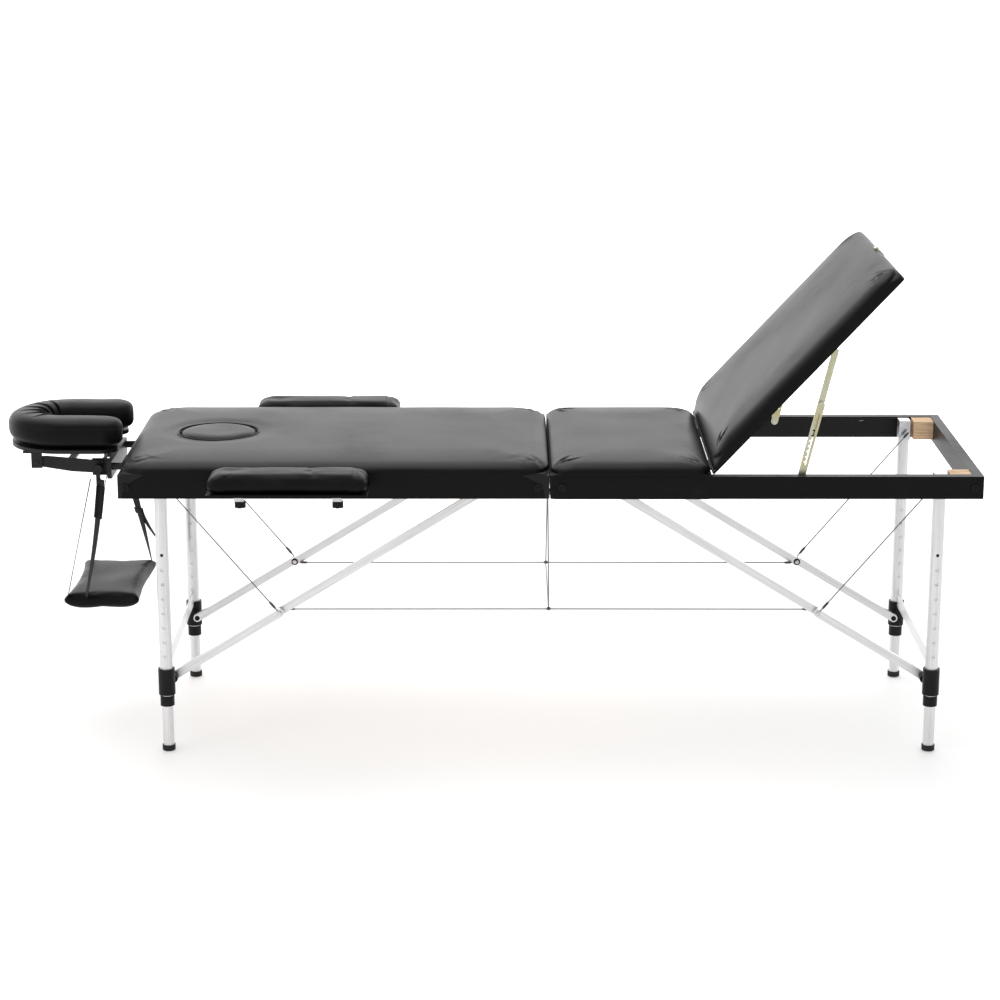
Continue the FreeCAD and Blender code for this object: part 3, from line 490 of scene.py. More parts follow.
# %% Steel rope
def make_rope():
    """Strands: a sine of the length along the cable plus the turn around it, read from the UV map."""
    rope = Finish("steel rope", Metallic=1.0)
    u, v = rope.sheet()
    strand = rope.sine(u * 4300.0 + v * 1900.0) * 0.5 + 0.5
    grime = rope.noise(60.0, 3.0)
    rope.set(Base_Color=rope.blend(strand * 0.7 + grime * 0.3, (0.10, 0.10, 0.10), (0.42, 0.42, 0.42)),
             Roughness=0.36 + grime * 0.2, Normal=rope.raise_by(strand, 0.0003))
    return rope.material


rope = make_rope()
CABLE_R = 0.0014
EYE_X, EYE_Y, EYE_Z = 0.850, 0.222, 0.612            # eyes in the corner blocks, from the fold line
MID_X, MID_Z = 0.5935, 0.3045                        # middle joint of each brace
LONG_Y = 0.186                                       # how far out the long cables run
SLEEVE_R = np.array([0.0020, 0.0028, 0.0030, 0.0030, 0.0028, 0.0020])
KNOT_R = np.array([0.0022, 0.0030, 0.0040, 0.0046, 0.0040, 0.0030, 0.0022])


def fold_away(piece):
    """Give a piece its own copy of its mesh."""
    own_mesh(piece)
    return piece


def tight_cable(name, start, stop, body, stands_for):
    """One straight rope between two points, put on its body with the rope finish. Returns it with its path."""
    path = line(start, stop)
    cable = put_on(sweep_tube(name, path, CABLE_R), body, rope, [stands_for])
    return fold_away(cable), path


cables, crimps = [], []
for end, sign in (("head", -1), ("foot", 1)):
    body, fold = f"{end}_half", "centre_fold_first" if sign < 0 else "centre_fold_second"
    for side, s in (("near", -1), ("far", 1)):
        runs = {"stay": ((FOLD_X + sign * EYE_X, s * EYE_Y, EYE_Z),
                         (FOLD_X + sign * (MID_X + 0.004), s * EYE_Y, MID_Z + 0.006)),
                "long": ((FOLD_X + sign * (MID_X - 0.012), s * LONG_Y, MID_Z),
                         (FOLD_X + sign * 0.002, s * LONG_Y, 0.305))}
        for kind, (start, stop) in runs.items():
            cable, path = tight_cable(f"{end}_{side}_{kind}_cable", start, stop, body, f"{end}_cables")
            cables.append(cable)
            whole = path[-1] - path[0]
            way = whole / np.linalg.norm(whole)
            first, last = path[0] + whole * 0.004, path[-1] - whole * 0.02
            sleeves = {"top": line(first, first + way * 0.016, 6), "low": line(last - way * 0.020, last, 6)}
            for tag in ("top",) if kind == "long" else ("top", "low"):
                sleeve = sweep_tube(f"{end}_{side}_{kind}_crimp_{tag}", sleeves[tag], SLEEVE_R, 14)
                crimps.append(fold_away(put_on(sleeve, body, crimp_metal)))
print(len(cables), "cables, the longest", round(max(c.dimensions.length for c in cables), 3), "m")

# %% The loop under the fold
LOOP_RUNS = (("far", (FOLD_X, 0.008, 0.576), (FOLD_X, 0.182, 0.310)),
             ("near", (FOLD_X, -0.008, 0.576), (FOLD_X, -0.182, 0.310)),
             ("cross", (FOLD_X, -0.176, 0.302), (FOLD_X, 0.176, 0.302)))
for side, start, stop in LOOP_RUNS:
    cables.append(tight_cable(f"loop_{side}", start, stop, "hinge_core",
                              "centre_loop")[0])
for side, s in (("near", -1), ("far", 1)):
    path = line((FOLD_X - 0.0046, s * 0.185, 0.3055), (FOLD_X + 0.0046, s * 0.185, 0.3055), 7)
    knot = put_on(sweep_tube(f"loop_knot_{side}", path, KNOT_R, 14), "hinge_core", crimp_metal)
    crimps.append(fold_away(knot))
print(len(cables), "cables in all,", len(crimps), "crimps and clamps")

# %% [markdown]
# ## Straps
# Four flat black webbing straps hang the arm shelf from the cradle. They are woven, a little loose, and turn on
# their way down, so each is a thin rounded ribbon swept along a line that bows by a few millimetres. One strap
# carries a thick plastic slider near its top and one a loose tail, as shop straps do.

# %% Webbing
def make_webbing():
    """Ribs: a sine across and a finer one along the strap, from the UV map, in height and colour."""
    web = Finish("black webbing", Specular_IOR_Level=0.35)
    u, v = web.sheet()
    weave = web.sine(v * 3600.0) * web.sine(u * 2600.0) * 0.5 + 0.5
    fuzz = web.noise(900.0, 3.0)
    web.set(Base_Color=web.blend(weave * 0.7 + fuzz * 0.3, (0.006, 0.006, 0.006), (0.030, 0.030, 0.031)),
            Roughness=0.72 + fuzz * 0.15, Normal=web.raise_by(weave + fuzz * 0.4, 0.0004))
    return web.material


webbing = make_webbing()


def ribbon(name, path, width, thick, twist=0.0, sides=16, start=0.0):
    """A flat strap: each cross section is a round-ended oblong, half the width times the cube-rooted cosine and
    half the thickness times the sine. It is turned about the path, from the angle start on, evenly by twist."""
    path = np.asarray(path, float)
    slope = np.gradient(path, axis=0)
    slope /= np.linalg.norm(slope, axis=1, keepdims=True)
    side = np.cross(slope, [0.0, 1.0, 0.0])
    side /= np.linalg.norm(side, axis=1, keepdims=True)
    over = np.cross(slope, side)
    angle = start + np.linspace(0.0, twist, len(path))[:, None]
    across = side * np.cos(angle) + over * np.sin(angle)
    out = over * np.cos(angle) - side * np.sin(angle)
    turn = np.linspace(0, 2 * math.pi, sides, endpoint=False)
    flatter = np.sign(np.cos(turn)) * np.abs(np.cos(turn)) ** (1 / 3)
    grid = (path[:, None] + flatter[None, :, None] * across[:, None] * width / 2
            + np.sin(turn)[None, :, None] * out[:, None] * thick / 2)
    return close_ends(name, path, grid, 2 * width)


def bow(start, end, aside, count=40):
    """A line that swells aside by a sine of the way along."""
    share = np.linspace(0, 1, count)[:, None]
    return line(start, end, count) + np.sin(math.pi * share) * np.array(aside, float)


shelf_low, shelf_high = span("arm_shelf")
STRAP_TOP = 0.584
STRAP_W, STRAP_T = 0.020, 0.0017
# each strap: its top and bottom in plan from the fold line, its bow, the angle at its top, and its twist
STRAP_RUNS = {"a": ((-1.016, -0.118), (-1.076, -0.122), (0.0, -0.003, 0.0), 1.38, 0.12),
              "b": ((-0.992, -0.118), (-1.034, -0.130), (0.004, -0.002, 0.0), 0.60, 0.62),
              "c": ((-1.004, 0.118), (-1.070, 0.166), (-0.003, 0.0, 0.0), 1.42, 0.10),
              "d": ((-0.980, 0.118), (-0.928, 0.166), (0.003, 0.0, 0.0), 0.0, 1.30)}


def strap_path(tag, count=40):
    """The way of one strap, from the cradle down to the shelf."""
    (x0, y0), (x1, y1), aside = STRAP_RUNS[tag][:3]
    return bow((FOLD_X + x0, y0, STRAP_TOP), (FOLD_X + x1, y1, shelf_high[2] - 0.003), aside, count)


for tag, (*_, begin, twist) in STRAP_RUNS.items():
    path = strap_path(tag)
    put_on(ribbon(f"shelf_strap_{tag}", path, STRAP_W, STRAP_T, twist, start=begin), "shelf", webbing,
           ["shelf_straps"])
    print("strap", tag, round(length_of(path), 3), "m")

# %% [markdown]
# ## Covers of the three pads
# Each pad is foam on a board, with one piece of vinyl pulled over it, down the rails and stapled underneath. The
# cover is tight, so it has no folds except small pleats at the corners; it crowns gently, rolls over the edge in
# a wide curve, and its sides draw in between the corners. One outline, a rectangle with round corners, is
# carried up the side and in over the top: every row of the grid is that outline, set in a bit further.

# %% The outline
OUTER = (0.46, 0.30)                                  # half sides of the pad that shares out the outline's points


def outline(u, half_x, half_y, round_r):
    """Corner centres plus round_r times cosine and sine of the turn. Both the centre and the turn are straight
    lines of u between nine marks: along a side only the centre moves, round a corner only the turn."""
    long_x, long_y, arc = 2 * OUTER[0], 2 * OUTER[1], 0.09
    marks = np.cumsum([0, long_y, arc, long_x, arc, long_y, arc, long_x, arc])
    marks = marks / marks[-1]
    side_x = np.interp(u, marks, [1, 1, 1, -1, -1, -1, -1, 1, 1])
    side_y = np.interp(u, marks, [-1, 1, 1, 1, 1, -1, -1, -1, -1])
    turn = np.interp(u, marks, np.array([0, 0, 1, 1, 2, 2, 3, 3, 4]) * math.pi / 2)
    x = side_x * (half_x - round_r) + round_r * np.cos(turn)
    y = side_y * (half_y - round_r) + round_r * np.sin(turn)
    return x, y, turn


print("outline at a quarter", [round(float(v), 3) for v in outline(np.array(0.25), *OUTER, 0.03)])

# %% Rows of a cover
def crown(inset, reach, power=2.4):
    """0 at the edge and 1 from reach inwards, along a superellipse: one minus the missing share to a power."""
    short = np.clip(1 - inset / reach, 0, 1)
    return (1 - short ** power) ** (1 / power)


ROLL = 0.135                                          # how far in from the edge a pad's top goes on curving
EDGE = DECK_TOP + 0.003                               # height at which a pad's side turns over into its top
UNDER = DECK_TOP + 0.0006                             # height of a cover's underside, just over the deck


def pad_height(inset, edge, top, roll=ROLL):
    """Three crowns added: a tight one at the rim for the fold, a flatter one over the whole roll, and a last
    tenth that goes on over 220 mm."""
    rise = 0.46 * crown(inset, roll * 0.26, 2.0) + 0.44 * crown(inset, roll, 1.7) + 0.10 * crown(inset, 0.22)
    return edge + (top - edge) * rise


def pleat(x, y, corner_x, corner_y, way, depth, width, length):
    """One sewn pleat: a narrow valley along a line that leaves the corner at an angle, fading with distance."""
    along = (x - corner_x) * math.cos(way) + (y - corner_y) * math.sin(way)
    aside = -(x - corner_x) * math.sin(way) + (y - corner_y) * math.cos(way)
    fade = np.clip(1 - np.abs(along - length / 2) / (length / 2), 0, 1) ** 0.7
    valley = -np.exp(-(aside / width) ** 2) + 0.55 * np.exp(-((aside - 1.8 * width) / (1.4 * width)) ** 2)
    return depth * fade * valley


def sway(x, y, scale, seed):
    """A calm unevenness between -1 and 1: six sine waves of nearby lengths in fixed pseudo-random directions."""
    pick = np.random.default_rng(seed)
    total = np.zeros(np.broadcast(x, y).shape)
    for _ in range(6):
        way, phase = pick.uniform(0, 2 * math.pi), pick.uniform(0, 2 * math.pi)
        length = pick.uniform(0.7, 1.5) * scale
        total += np.sin((x * math.cos(way) + y * math.sin(way)) * 2 * math.pi / length + phase)
    return total / 6


def cover_grid(half_x, half_y, low, edge, top, columns=420, roll=ROLL, side_rows=16, top_rows=54, hem=0.0025,
               base_round=0.012, edge_round=0.044, low_at=None):
    """Rows from the inside of the hem, down, under, up the outer side and in over the top. The side stands
    half_x and half_y from the middle; its height rises evenly from low to edge. On top the inset grows, and the
    height is edge plus the rest times the crown. The side bulges by 0.9 mm half way up."""
    u = (np.arange(columns) + 0.5) / columns
    rows = []
    limit = min(half_x, half_y)
    floor_z = np.full(columns, low) if low_at is None else low_at(outline(u, half_x, half_y, base_round)[2], low)

    def row(inset, height, corner):
        inset = min(inset, limit - 1e-4)
        corner = min(corner, limit - inset)
        x, y, turn = outline(u, half_x - inset, half_y - inset, corner)
        rows.append(np.stack([x, y, np.broadcast_to(height, x.shape)], axis=1))

    for share in np.linspace(1, 0, 5):
        row(hem, floor_z + 0.0015 + (edge - 0.004 - floor_z) * share, base_round)
    row(hem * 0.6, floor_z + 0.0003, base_round)
    row(hem * 0.3, floor_z, base_round)
    for share in np.linspace(0, 1, side_rows):
        bulge = 0.0009 * math.sin(math.pi * share) ** 2
        row(0.0011 - bulge, floor_z + 0.0006 + (edge - floor_z - 0.0006) * share,
            base_round + (edge_round - base_round) * share ** 2)
    insets = np.concatenate([roll * np.linspace(0, 1, 22)[1:] ** 1.8, np.linspace(roll, limit, top_rows)[1:]])
    for inset in insets:
        row(inset + 0.0002, pad_height(inset, edge, top, roll), max(edge_round - inset * 0.25, 0.004))
    return np.array(rows)


def crease(grid, corners, top, seed, unevenness=0.0005):
    """Add the corner pleats and the calm unevenness to the height of a cover's upper part."""
    x, y, z = grid[..., 0], grid[..., 1], grid[..., 2]
    upper = np.clip((z - top + 0.034) / 0.010, 0, 1)
    shift = sway(x, y, 0.16, seed) * unevenness
    for corner_x, corner_y, way in corners:
        for fan in (-0.30, 0.26):
            shift = shift + pleat(x, y, corner_x, corner_y, way + fan, 0.0040, 0.0026, 0.066)
    grid[..., 2] = z + shift * upper
    return grid


def corners(half_x, half_y, plus, minus):
    """A pad's four corners and the way that the pleats leave each. Plus and minus are how far in from the
    ends the pleats start."""
    ends = ((half_x - plus, 2.36), (minus - half_x, 0.78))
    return [(x, s * (half_y - 0.030), -s * way) for x, way in ends for s in (-1, 1)]


def close_below(grid, height):
    """Rows from the middle of the underside out to the hem, all at one height, ahead of a cover's own rows."""
    close = np.concatenate([grid[:1] * [1 - t, 1 - t, 1] for t in np.linspace(1, 0, 10)[:-1]])
    close[..., 2] = grid[0, :, 2] = height
    return np.concatenate([close, grid])


def stuff(piece, body, stands_for, finish=vinyl):
    """Put a padded piece on its body with its finish and say what it stands for."""
    put_on(piece, body, finish, stands_for)
    print(piece.name, len(piece.data.polygons), "faces", [round(v, 3) for v in piece.dimensions])
    return piece


print("crown at 0, 20 and 60 mm in:", [round(float(v), 2) for v in crown(np.array([0.0, 0.02, 0.06]), 0.055)])

# %% The head pad, with its round opening
skirt_low, skirt_high = span("head_skirt")
hole_low, hole_high = span("hole_plug")
HEAD_MID = (skirt_low[0] + skirt_high[0]) / 2
HOLE = np.array([(hole_low[0] + hole_high[0]) / 2 - HEAD_MID, 0.0])
PLUG_R = (hole_high[:2] - hole_low[:2]) / 2
HOLE_R = PLUG_R + 0.0016


def head_cover():
    """The outer rows are those of any cover. From 70 mm in, each point moves straight towards the opening:
    a share of the way from the outline to the oval at the same angle. The oval's lip rolls down in five rows,
    and the last rows run back under the foam to the hem, which closes the cover."""
    half_x, half_y = (skirt_high[0] - skirt_low[0]) / 2, HALF_WIDTH
    base = cover_grid(half_x, half_y, RAIL_LOW, EDGE, PAD_TOP, columns=520, edge_round=0.072)
    inset = np.minimum(half_x - np.abs(base[..., 0]), half_y - np.abs(base[..., 1]))
    last = int(np.argmax(inset.max(axis=1) > 0.070))
    base = base[:last]
    edge_ring = base[-1]
    way = np.arctan2(edge_ring[:, 1] - HOLE[1], edge_ring[:, 0] - HOLE[0])
    reach = 1 / np.sqrt((np.cos(way) / HOLE_R[0]) ** 2 + (np.sin(way) / HOLE_R[1]) ** 2)

    def oval(grow, height):
        return np.stack([HOLE[0] + (reach + grow) * np.cos(way), HOLE[1] + (reach + grow) * np.sin(way),
                         np.full(way.size, height)], axis=1)

    rows = [base]
    lip = oval(0.012, PAD_TOP - 0.0006)
    share = np.linspace(0, 1, 64)[1:, None, None]
    flat = edge_ring[None] * (1 - share) + lip[None] * share
    depth = np.minimum(half_x - np.abs(flat[..., 0]), half_y - np.abs(flat[..., 1]))
    flat[..., 2] = pad_height(depth, EDGE, PAD_TOP)
    near_hole = np.hypot(*((flat[..., k] - HOLE[k]) / (HOLE_R[k] + 0.012) for k in (0, 1)))
    flat[..., 2] -= 0.0022 * np.exp(-((near_hole - 1) / 0.22) ** 2)
    rows.append(flat)
    drop = flat[-1, :, 2].mean()
    for grow, height in ((0.0085, drop - 0.0002), (0.0055, drop - 0.0010), (0.0030, drop - 0.0028),
                         (0.0010, drop - 0.0060), (0.0002, drop - 0.0110), (0.0002, UNDER)):
        rows.append(oval(grow, height)[None])
    back = np.linspace(0, 1, 12)[1:, None, None]
    under = oval(0.0002, UNDER)[None] * (1 - back) + base[0][None] * back
    under[..., 2] = UNDER
    rows.append(under[:-1])
    grid = crease(np.concatenate(rows), corners(half_x, half_y, 0.012, 0.014), PAD_TOP, 3)
    grid[..., 0] += HEAD_MID
    return skin("head_cover", grid, ring=True, tube=True)


stuff(close_mesh(head_cover(), 2e-5), "head_half", ["head_pad", "head_skirt"])

# %% The middle pad
MIDDLE = (FOLD_X + 0.0007, float(span("foot_pad")[1][0]) + 0.0048)


def middle_cover():
    """A cover whose hem hangs to the rails' lower edge on three sides, and on the backrest's side only to the
    batten, because the frame is open behind it."""
    half_x = (MIDDLE[1] - MIDDLE[0]) / 2

    def low_at(turn, low):
        facing = np.clip((np.cos(turn) - 0.6) / 0.3, 0, 1)
        return low + (DECK_TOP - 0.0038 - low) * facing

    grid = cover_grid(half_x, HALF_WIDTH + 0.0010, RAIL_LOW - 0.0005, EDGE, PAD_TOP, columns=480, hem=0.0009,
                      low_at=low_at, top_rows=40)
    grid = crease(close_below(grid, UNDER), corners(half_x, HALF_WIDTH, 0.014, 0.012), PAD_TOP, 5)
    grid[..., 0] += (MIDDLE[0] + MIDDLE[1]) / 2
    return skin("middle_cover", grid, ring=True)


stuff(close_mesh(middle_cover(), 2e-5), "foot_half", ["foot_pad"])

# %% The backrest's pad
BACK_TILT = math.radians(47.2)
HINGE = np.array([FOLD_X + 0.349, 0.0, 0.6385])
BACK_LEN, BACK_TOP = 0.578, 0.0415                    # length of the board, height of the pad over the hinge


def raised(points):
    """Points of the lying backrest, measured from its hinge, turned up by the tilt: x becomes cosine of x
    minus sine of z, and z becomes sine of x plus cosine of z."""
    x, y, z = points[..., 0], points[..., 1], points[..., 2]
    return np.stack([HINGE[0] + x * math.cos(BACK_TILT) - z * math.sin(BACK_TILT), y,
                     HINGE[2] + x * math.sin(BACK_TILT) + z * math.cos(BACK_TILT)], axis=-1)


def back_cover():
    """The same rows on the lying board. The end at the hinge leans back by 46 millimetres from bottom to
    top, so that it clears the middle pad; the lean fades out over the first hundred and fifty millimetres."""
    half_x = BACK_LEN / 2 + 0.0006
    grid = cover_grid(half_x, HALF_WIDTH, 0.0001, 0.0190, BACK_TOP, columns=440, roll=0.120, hem=0.0012,
                      edge_round=0.046, side_rows=10)
    grid[1:4, :, 2] = np.minimum(grid[1:4, :, 2], 0.0050)
    grid = crease(close_below(grid, 0.0056), corners(half_x, HALF_WIDTH, 0.012, 0.012), BACK_TOP, 9)
    near_hinge = np.clip(1 - (grid[..., 0] + half_x) / 0.15, 0, 1)
    grid[..., 0] += half_x + 0.0016 + near_hinge * np.clip(grid[..., 2] / BACK_TOP, 0, 1) * 0.046
    return skin("back_cover", raised(grid), ring=True)


stuff(close_mesh(back_cover(), 2e-5), "backrest", ["backrest_pad"])

# %% [markdown]
# ## The plug and its welt
# The round opening for the face is filled by a small pad. A dark cord of vinyl, the welt, is sewn round the
# opening's lip, and a shadow gap lies between the two. The plug is a dome over an oval: its rows shrink towards
# the middle while the height follows the same crown as the pads.

# %% Plug and welt
def plug_grid():
    """Rows from the middle of the underside, out, up the side, and in again over a crowned top."""
    turn = np.linspace(0, 2 * math.pi, 160, endpoint=False)
    a, b = PLUG_R - 0.0014
    bottom, top = hole_low[2] + 0.004, hole_high[2] + 0.0012
    over = 1 - np.cos(np.linspace(0, math.pi / 2, 30))
    inset = np.concatenate([np.linspace(1, 0.02, 8), np.zeros(8), over])
    height = np.concatenate([np.full(8, bottom), np.linspace(bottom, top - 0.010, 8),
                             top - 0.010 + 0.010 * crown(over, 0.42, 2.6)])
    x = HEAD_MID + HOLE[0] + (1 - inset)[:, None] * a * np.cos(turn)
    y = (1 - inset)[:, None] * b * np.sin(turn)
    z = height[:, None] + sway(x, y, 0.07, 12) * 0.0005 * (inset[:, None] > 0.1)
    return np.stack([x, y, z], axis=2)


stuff(close_mesh(skin("face_plug", plug_grid(), ring=True), 2e-5), "plug", ["hole_plug"])


def ring_tube(name, centre, half_a, half_b, height, radius, count=160, sides=10):
    """A tube round an oval: the oval grown and lifted by a small circle, and joined to itself both ways."""
    turn = np.linspace(0, 2 * math.pi, count, endpoint=False)[None, :]
    small = np.linspace(0, 2 * math.pi, sides, endpoint=False)[:, None]
    out = radius * np.cos(small)
    x = centre[0] + (half_a + out) * np.cos(turn)
    y = centre[1] + (half_b + out) * np.sin(turn)
    z = height + radius * np.sin(small) + 0 * turn
    return close_mesh(skin(name, np.stack([x, y, z], axis=2), ring=True, tube=True), 1e-6)


welt = ring_tube("face_welt", (HEAD_MID + HOLE[0], 0.0), *(HOLE_R + 0.0042), PAD_TOP - 0.0030, 0.0022)
put_on(welt, "head_half", vinyl)
print("welt", [round(v, 3) for v in welt.dimensions])

# %% [markdown]
# ## Stuffed cushions
# The armrests and the arm shelf are loose cushions: foam in a sewn bag, plump, with sides that draw in between
# the corners. A closed form is worked out first, a little too small, and then really inflated: its skin is laid
# out in even squares, made cloth, and blown up for twenty frames. No point may move further than a few
# millimetres, so the cushion keeps its size. The bag's seam and stitches come after, because the new squares
# would swallow them.

# %% A plump closed form
def stuffed(half, corner, roll, rise, power=2.6, columns=200):
    """Rows from the middle of the underside round to the middle of the top. The inset follows roll times one
    minus a power of the cosine, the height the same power of the sine, and the top gains rise times the crown."""
    u = (np.arange(columns) + 0.5) / columns
    angle = np.linspace(-math.pi / 2, math.pi / 2, 26)
    limit = min(half[0], half[1])
    inner = np.linspace(roll, limit, 18)[1:]
    level = np.ones(inner.size)
    inset = np.concatenate([inner[::-1], roll * (1 - np.cos(angle) ** (2 / power)), inner])
    sine = np.sign(np.sin(angle)) * np.abs(np.sin(angle)) ** (2 / power)
    share = np.concatenate([-level, sine, level])
    radius = np.clip(corner, 0, limit - inset)[:, None]
    x, y, _ = outline(np.broadcast_to(u, (inset.size, columns)), (half[0] - inset)[:, None],
                      (half[1] - inset)[:, None], radius)
    height = share * (half[2] - rise / 2) - rise / 2 + np.clip(share, 0, 1) * rise * crown(inset, limit, 2.0)
    return np.stack([x, y, np.broadcast_to(height[:, None], x.shape)], axis=2)


def draw_in(grid, half, amount):
    """Sides pull in between the corners: each plan coordinate shrinks by amount where the other one is small."""
    x, y = grid[..., 0] / half[0], grid[..., 1] / half[1]
    grid[..., 0] -= np.sign(x) * amount * np.clip(1 - y ** 2, 0, 1) * x ** 2
    grid[..., 1] -= np.sign(y) * amount * np.clip(1 - x ** 2, 0, 1) * y ** 2
    return grid


print("stuffed form", stuffed(np.array([0.1, 0.05, 0.02]), 0.02, 0.02, 0.004).shape)

# %% Blowing a cushion up
def read_points(mesh, what="co"):
    """Each point's place, or its normal, one row each."""
    values = np.empty(len(mesh.vertices) * 3, np.float32)
    mesh.vertices.foreach_get(what, values)
    return values.reshape(-1, 3).astype(float)


def write_points(mesh, points):
    mesh.vertices.foreach_set("co", points.astype(np.float32).ravel())
    mesh.update()


def inflate(piece, voxel=0.005, pressure=4.0, cap=0.0035, frames=20):
    """Remesh, blow up as cloth without gravity, and keep each point's movement, cut to the cap."""
    squares = piece.modifiers.new("squares", "REMESH")
    squares.mode, squares.voxel_size = "VOXEL", voxel
    squares.use_smooth_shade = True
    even = bpy.data.meshes.new_from_object(piece.evaluated_get(bpy.context.evaluated_depsgraph_get()))
    piece.modifiers.remove(squares)
    piece.data = even
    start = read_points(even)
    cloth = piece.modifiers.new("cloth", "CLOTH")
    cloth.settings.use_pressure = True
    cloth.settings.uniform_pressure_force = pressure
    cloth.settings.effector_weights.gravity = 0.0
    cloth.point_cache.frame_start, cloth.point_cache.frame_end = 1, frames
    for frame_number in range(1, frames + 1):
        bpy.context.scene.frame_set(frame_number)
    blown = bpy.data.meshes.new_from_object(piece.evaluated_get(bpy.context.evaluated_depsgraph_get()))
    move = read_points(blown) - start
    piece.modifiers.remove(cloth)
    bpy.context.scene.frame_set(1)
    far = np.linalg.norm(move, axis=1, keepdims=True)
    move *= np.minimum(1.0, cap / np.maximum(far, 1e-9))
    write_points(even, start + move)
    print(piece.name, "blown up by", round(float(far.max()) * 1000, 1), "mm at most, kept to", cap * 1000)
    return piece


def smooth_skin(piece):
    """One subdivision."""
    smooth = piece.modifiers.new("smooth", "SUBSURF")
    smooth.levels = smooth.render_levels = 1


print("cushions are" + (""), "blown up in this run")

# %% Small turned parts, many at once
def lathe(name, places, ways, radii, heights, sides=16):
    """One turned profile at many places: the centre, plus the height along the way, plus the radius round it.
    The first and last radius are zero, which closes the form."""
    places = np.atleast_2d(np.asarray(places, float))
    ways = np.broadcast_to(np.asarray(ways, float), places.shape)
    ways = ways / np.linalg.norm(ways, axis=1, keepdims=True)
    other = np.where(np.abs(ways[:, 2:]) > 0.9, [[1.0, 0.0, 0.0]], [[0.0, 0.0, 1.0]])
    side = np.cross(ways, other)
    side /= np.linalg.norm(side, axis=1, keepdims=True)
    over = np.cross(ways, side)
    turn = np.linspace(0, 2 * math.pi, sides, endpoint=False)[:, None]
    ring = np.cos(turn) * side[:, None] + np.sin(turn) * over[:, None]
    radii, heights = np.asarray(radii, float), np.asarray(heights, float)
    grid = (places[:, None, None] + ways[:, None, None] * heights[None, :, None, None]
            + ring[:, None] * radii[None, :, None, None])
    row, column = (v.ravel() for v in np.meshgrid(np.arange(len(radii) - 1), np.arange(sides), indexing="ij"))
    right = (column + 1) % sides
    quads = np.stack([row * sides + column, row * sides + right, (row + 1) * sides + right,
                      (row + 1) * sides + column], axis=1)
    shift = np.arange(len(places))[:, None, None] * len(radii) * sides
    return close_mesh(lay_mesh(name, grid.reshape(-1, 3), (quads[None] + shift).reshape(-1, 4)), 1e-6)


BEAD_R = np.array([0.0, 0.7, 1.0, 1.0, 0.7, 0.0])      # profile of a stitch: round ends
BEAD_H = np.array([-1.0, -0.85, -0.5, 0.5, 0.85, 1.0])


def stitches(name, path, long=0.0042, pitch=0.0062, radius=0.00045):
    """A row of short beads, evenly spaced along a path, each lying the way the path runs."""
    step = np.linalg.norm(np.diff(path, axis=0), axis=1)
    run = np.concatenate([[0.0], np.cumsum(step)])
    at = np.arange(pitch / 2, run[-1] - pitch / 4, pitch)
    back, place, ahead = (np.stack([np.interp(at + shift, run, path[:, k]) for k in range(3)], axis=1)
                          for shift in (-0.001, 0.0, 0.001))
    return lathe(name, place, ahead - back, BEAD_R * radius, BEAD_H * long / 2, 6)


thread = make_plain("black thread", (0.045, 0.045, 0.046), (0.018, 0.018, 0.019), 0.68, 0.00012, 2400.0)
print("stitches and lathe are ready")

# %% The armrest pads
def top_of(piece, x, y):
    """Height of a piece's upper side at plan points: that of its nearest upward-facing point."""
    upper = read_points(piece.data)[read_points(piece.data, "normal")[:, 2] > 0.25]
    near = ((upper[None, :, 0] - x[:, None]) ** 2 + (upper[None, :, 1] - y[:, None]) ** 2).argmin(axis=1)
    return upper[near, 2]


for side, s in (("near", -1), ("far", 1)):
    low, high = span(f"{side}_arm_pad")
    middle, half = (low + high) / 2, (high - low) / 2
    shape = draw_in(stuffed(half - [0.001, 0.001, 0.0025], 0.019, 0.021, 0.006), half, 0.003)
    x, y = shape[..., 0], shape[..., 1]
    upper = np.clip(shape[..., 2] / half[2], 0, 1)
    dimple = 0.0050 * np.exp(-((x + 0.118) / 0.026) ** 2 - ((y - 0.004) / 0.018) ** 2)
    zigzag = 0.0028 * np.exp(-((x - 0.052 - 0.007 * np.sin(y * 150)) / 0.0055) ** 2)
    zigzag = zigzag * np.clip(1 - (y / 0.05) ** 2, 0, 1)
    shape[..., 2] += upper * (sway(x, y, 0.09, 20 + s) * 0.0012 - dimple - zigzag)
    pad = close_mesh(skin(f"{side}_arm_cushion", shape + middle, ring=True), 2e-5)
    inflate(pad)
    seam_x = middle[0] + 0.142
    points = read_points(pad.data)
    lift = np.clip((points[:, 2] - middle[2]) / 0.012, 0, 1)
    points[:, 2] -= 0.0016 * lift * np.exp(-((points[:, 0] - seam_x) / 0.0035) ** 2)
    write_points(pad.data, points)
    smooth_skin(pad)
    stuff(pad, f"{side}_armrest", [f"{side}_arm_pad"], cushion_vinyl)
    across = np.linspace(middle[1] - 0.036, middle[1] + 0.036, 40)
    for row, shift in (("a", -0.0042), ("b", 0.0042)):
        along = np.full(40, seam_x + shift)
        path = np.stack([along, across, top_of(pad, along, across) + 0.0001], axis=1)
        put_on(stitches(f"{side}_arm_stitches_{row}", path), f"{side}_armrest", thread)

# %% [markdown]
# ## The face cushion
# A horseshoe of foam round the face, open towards the table. It is one section carried along a path: straight
# arm, half circle, straight arm. The section is a plump rounded oblong; at the tips it shrinks with a circle's
# height, which rounds them in plan. The vinyl is too long on the inside of the bend, so it is gathered there in
# six sewn pleats that fade out over the top, and a seam runs round the outer side to both tips.

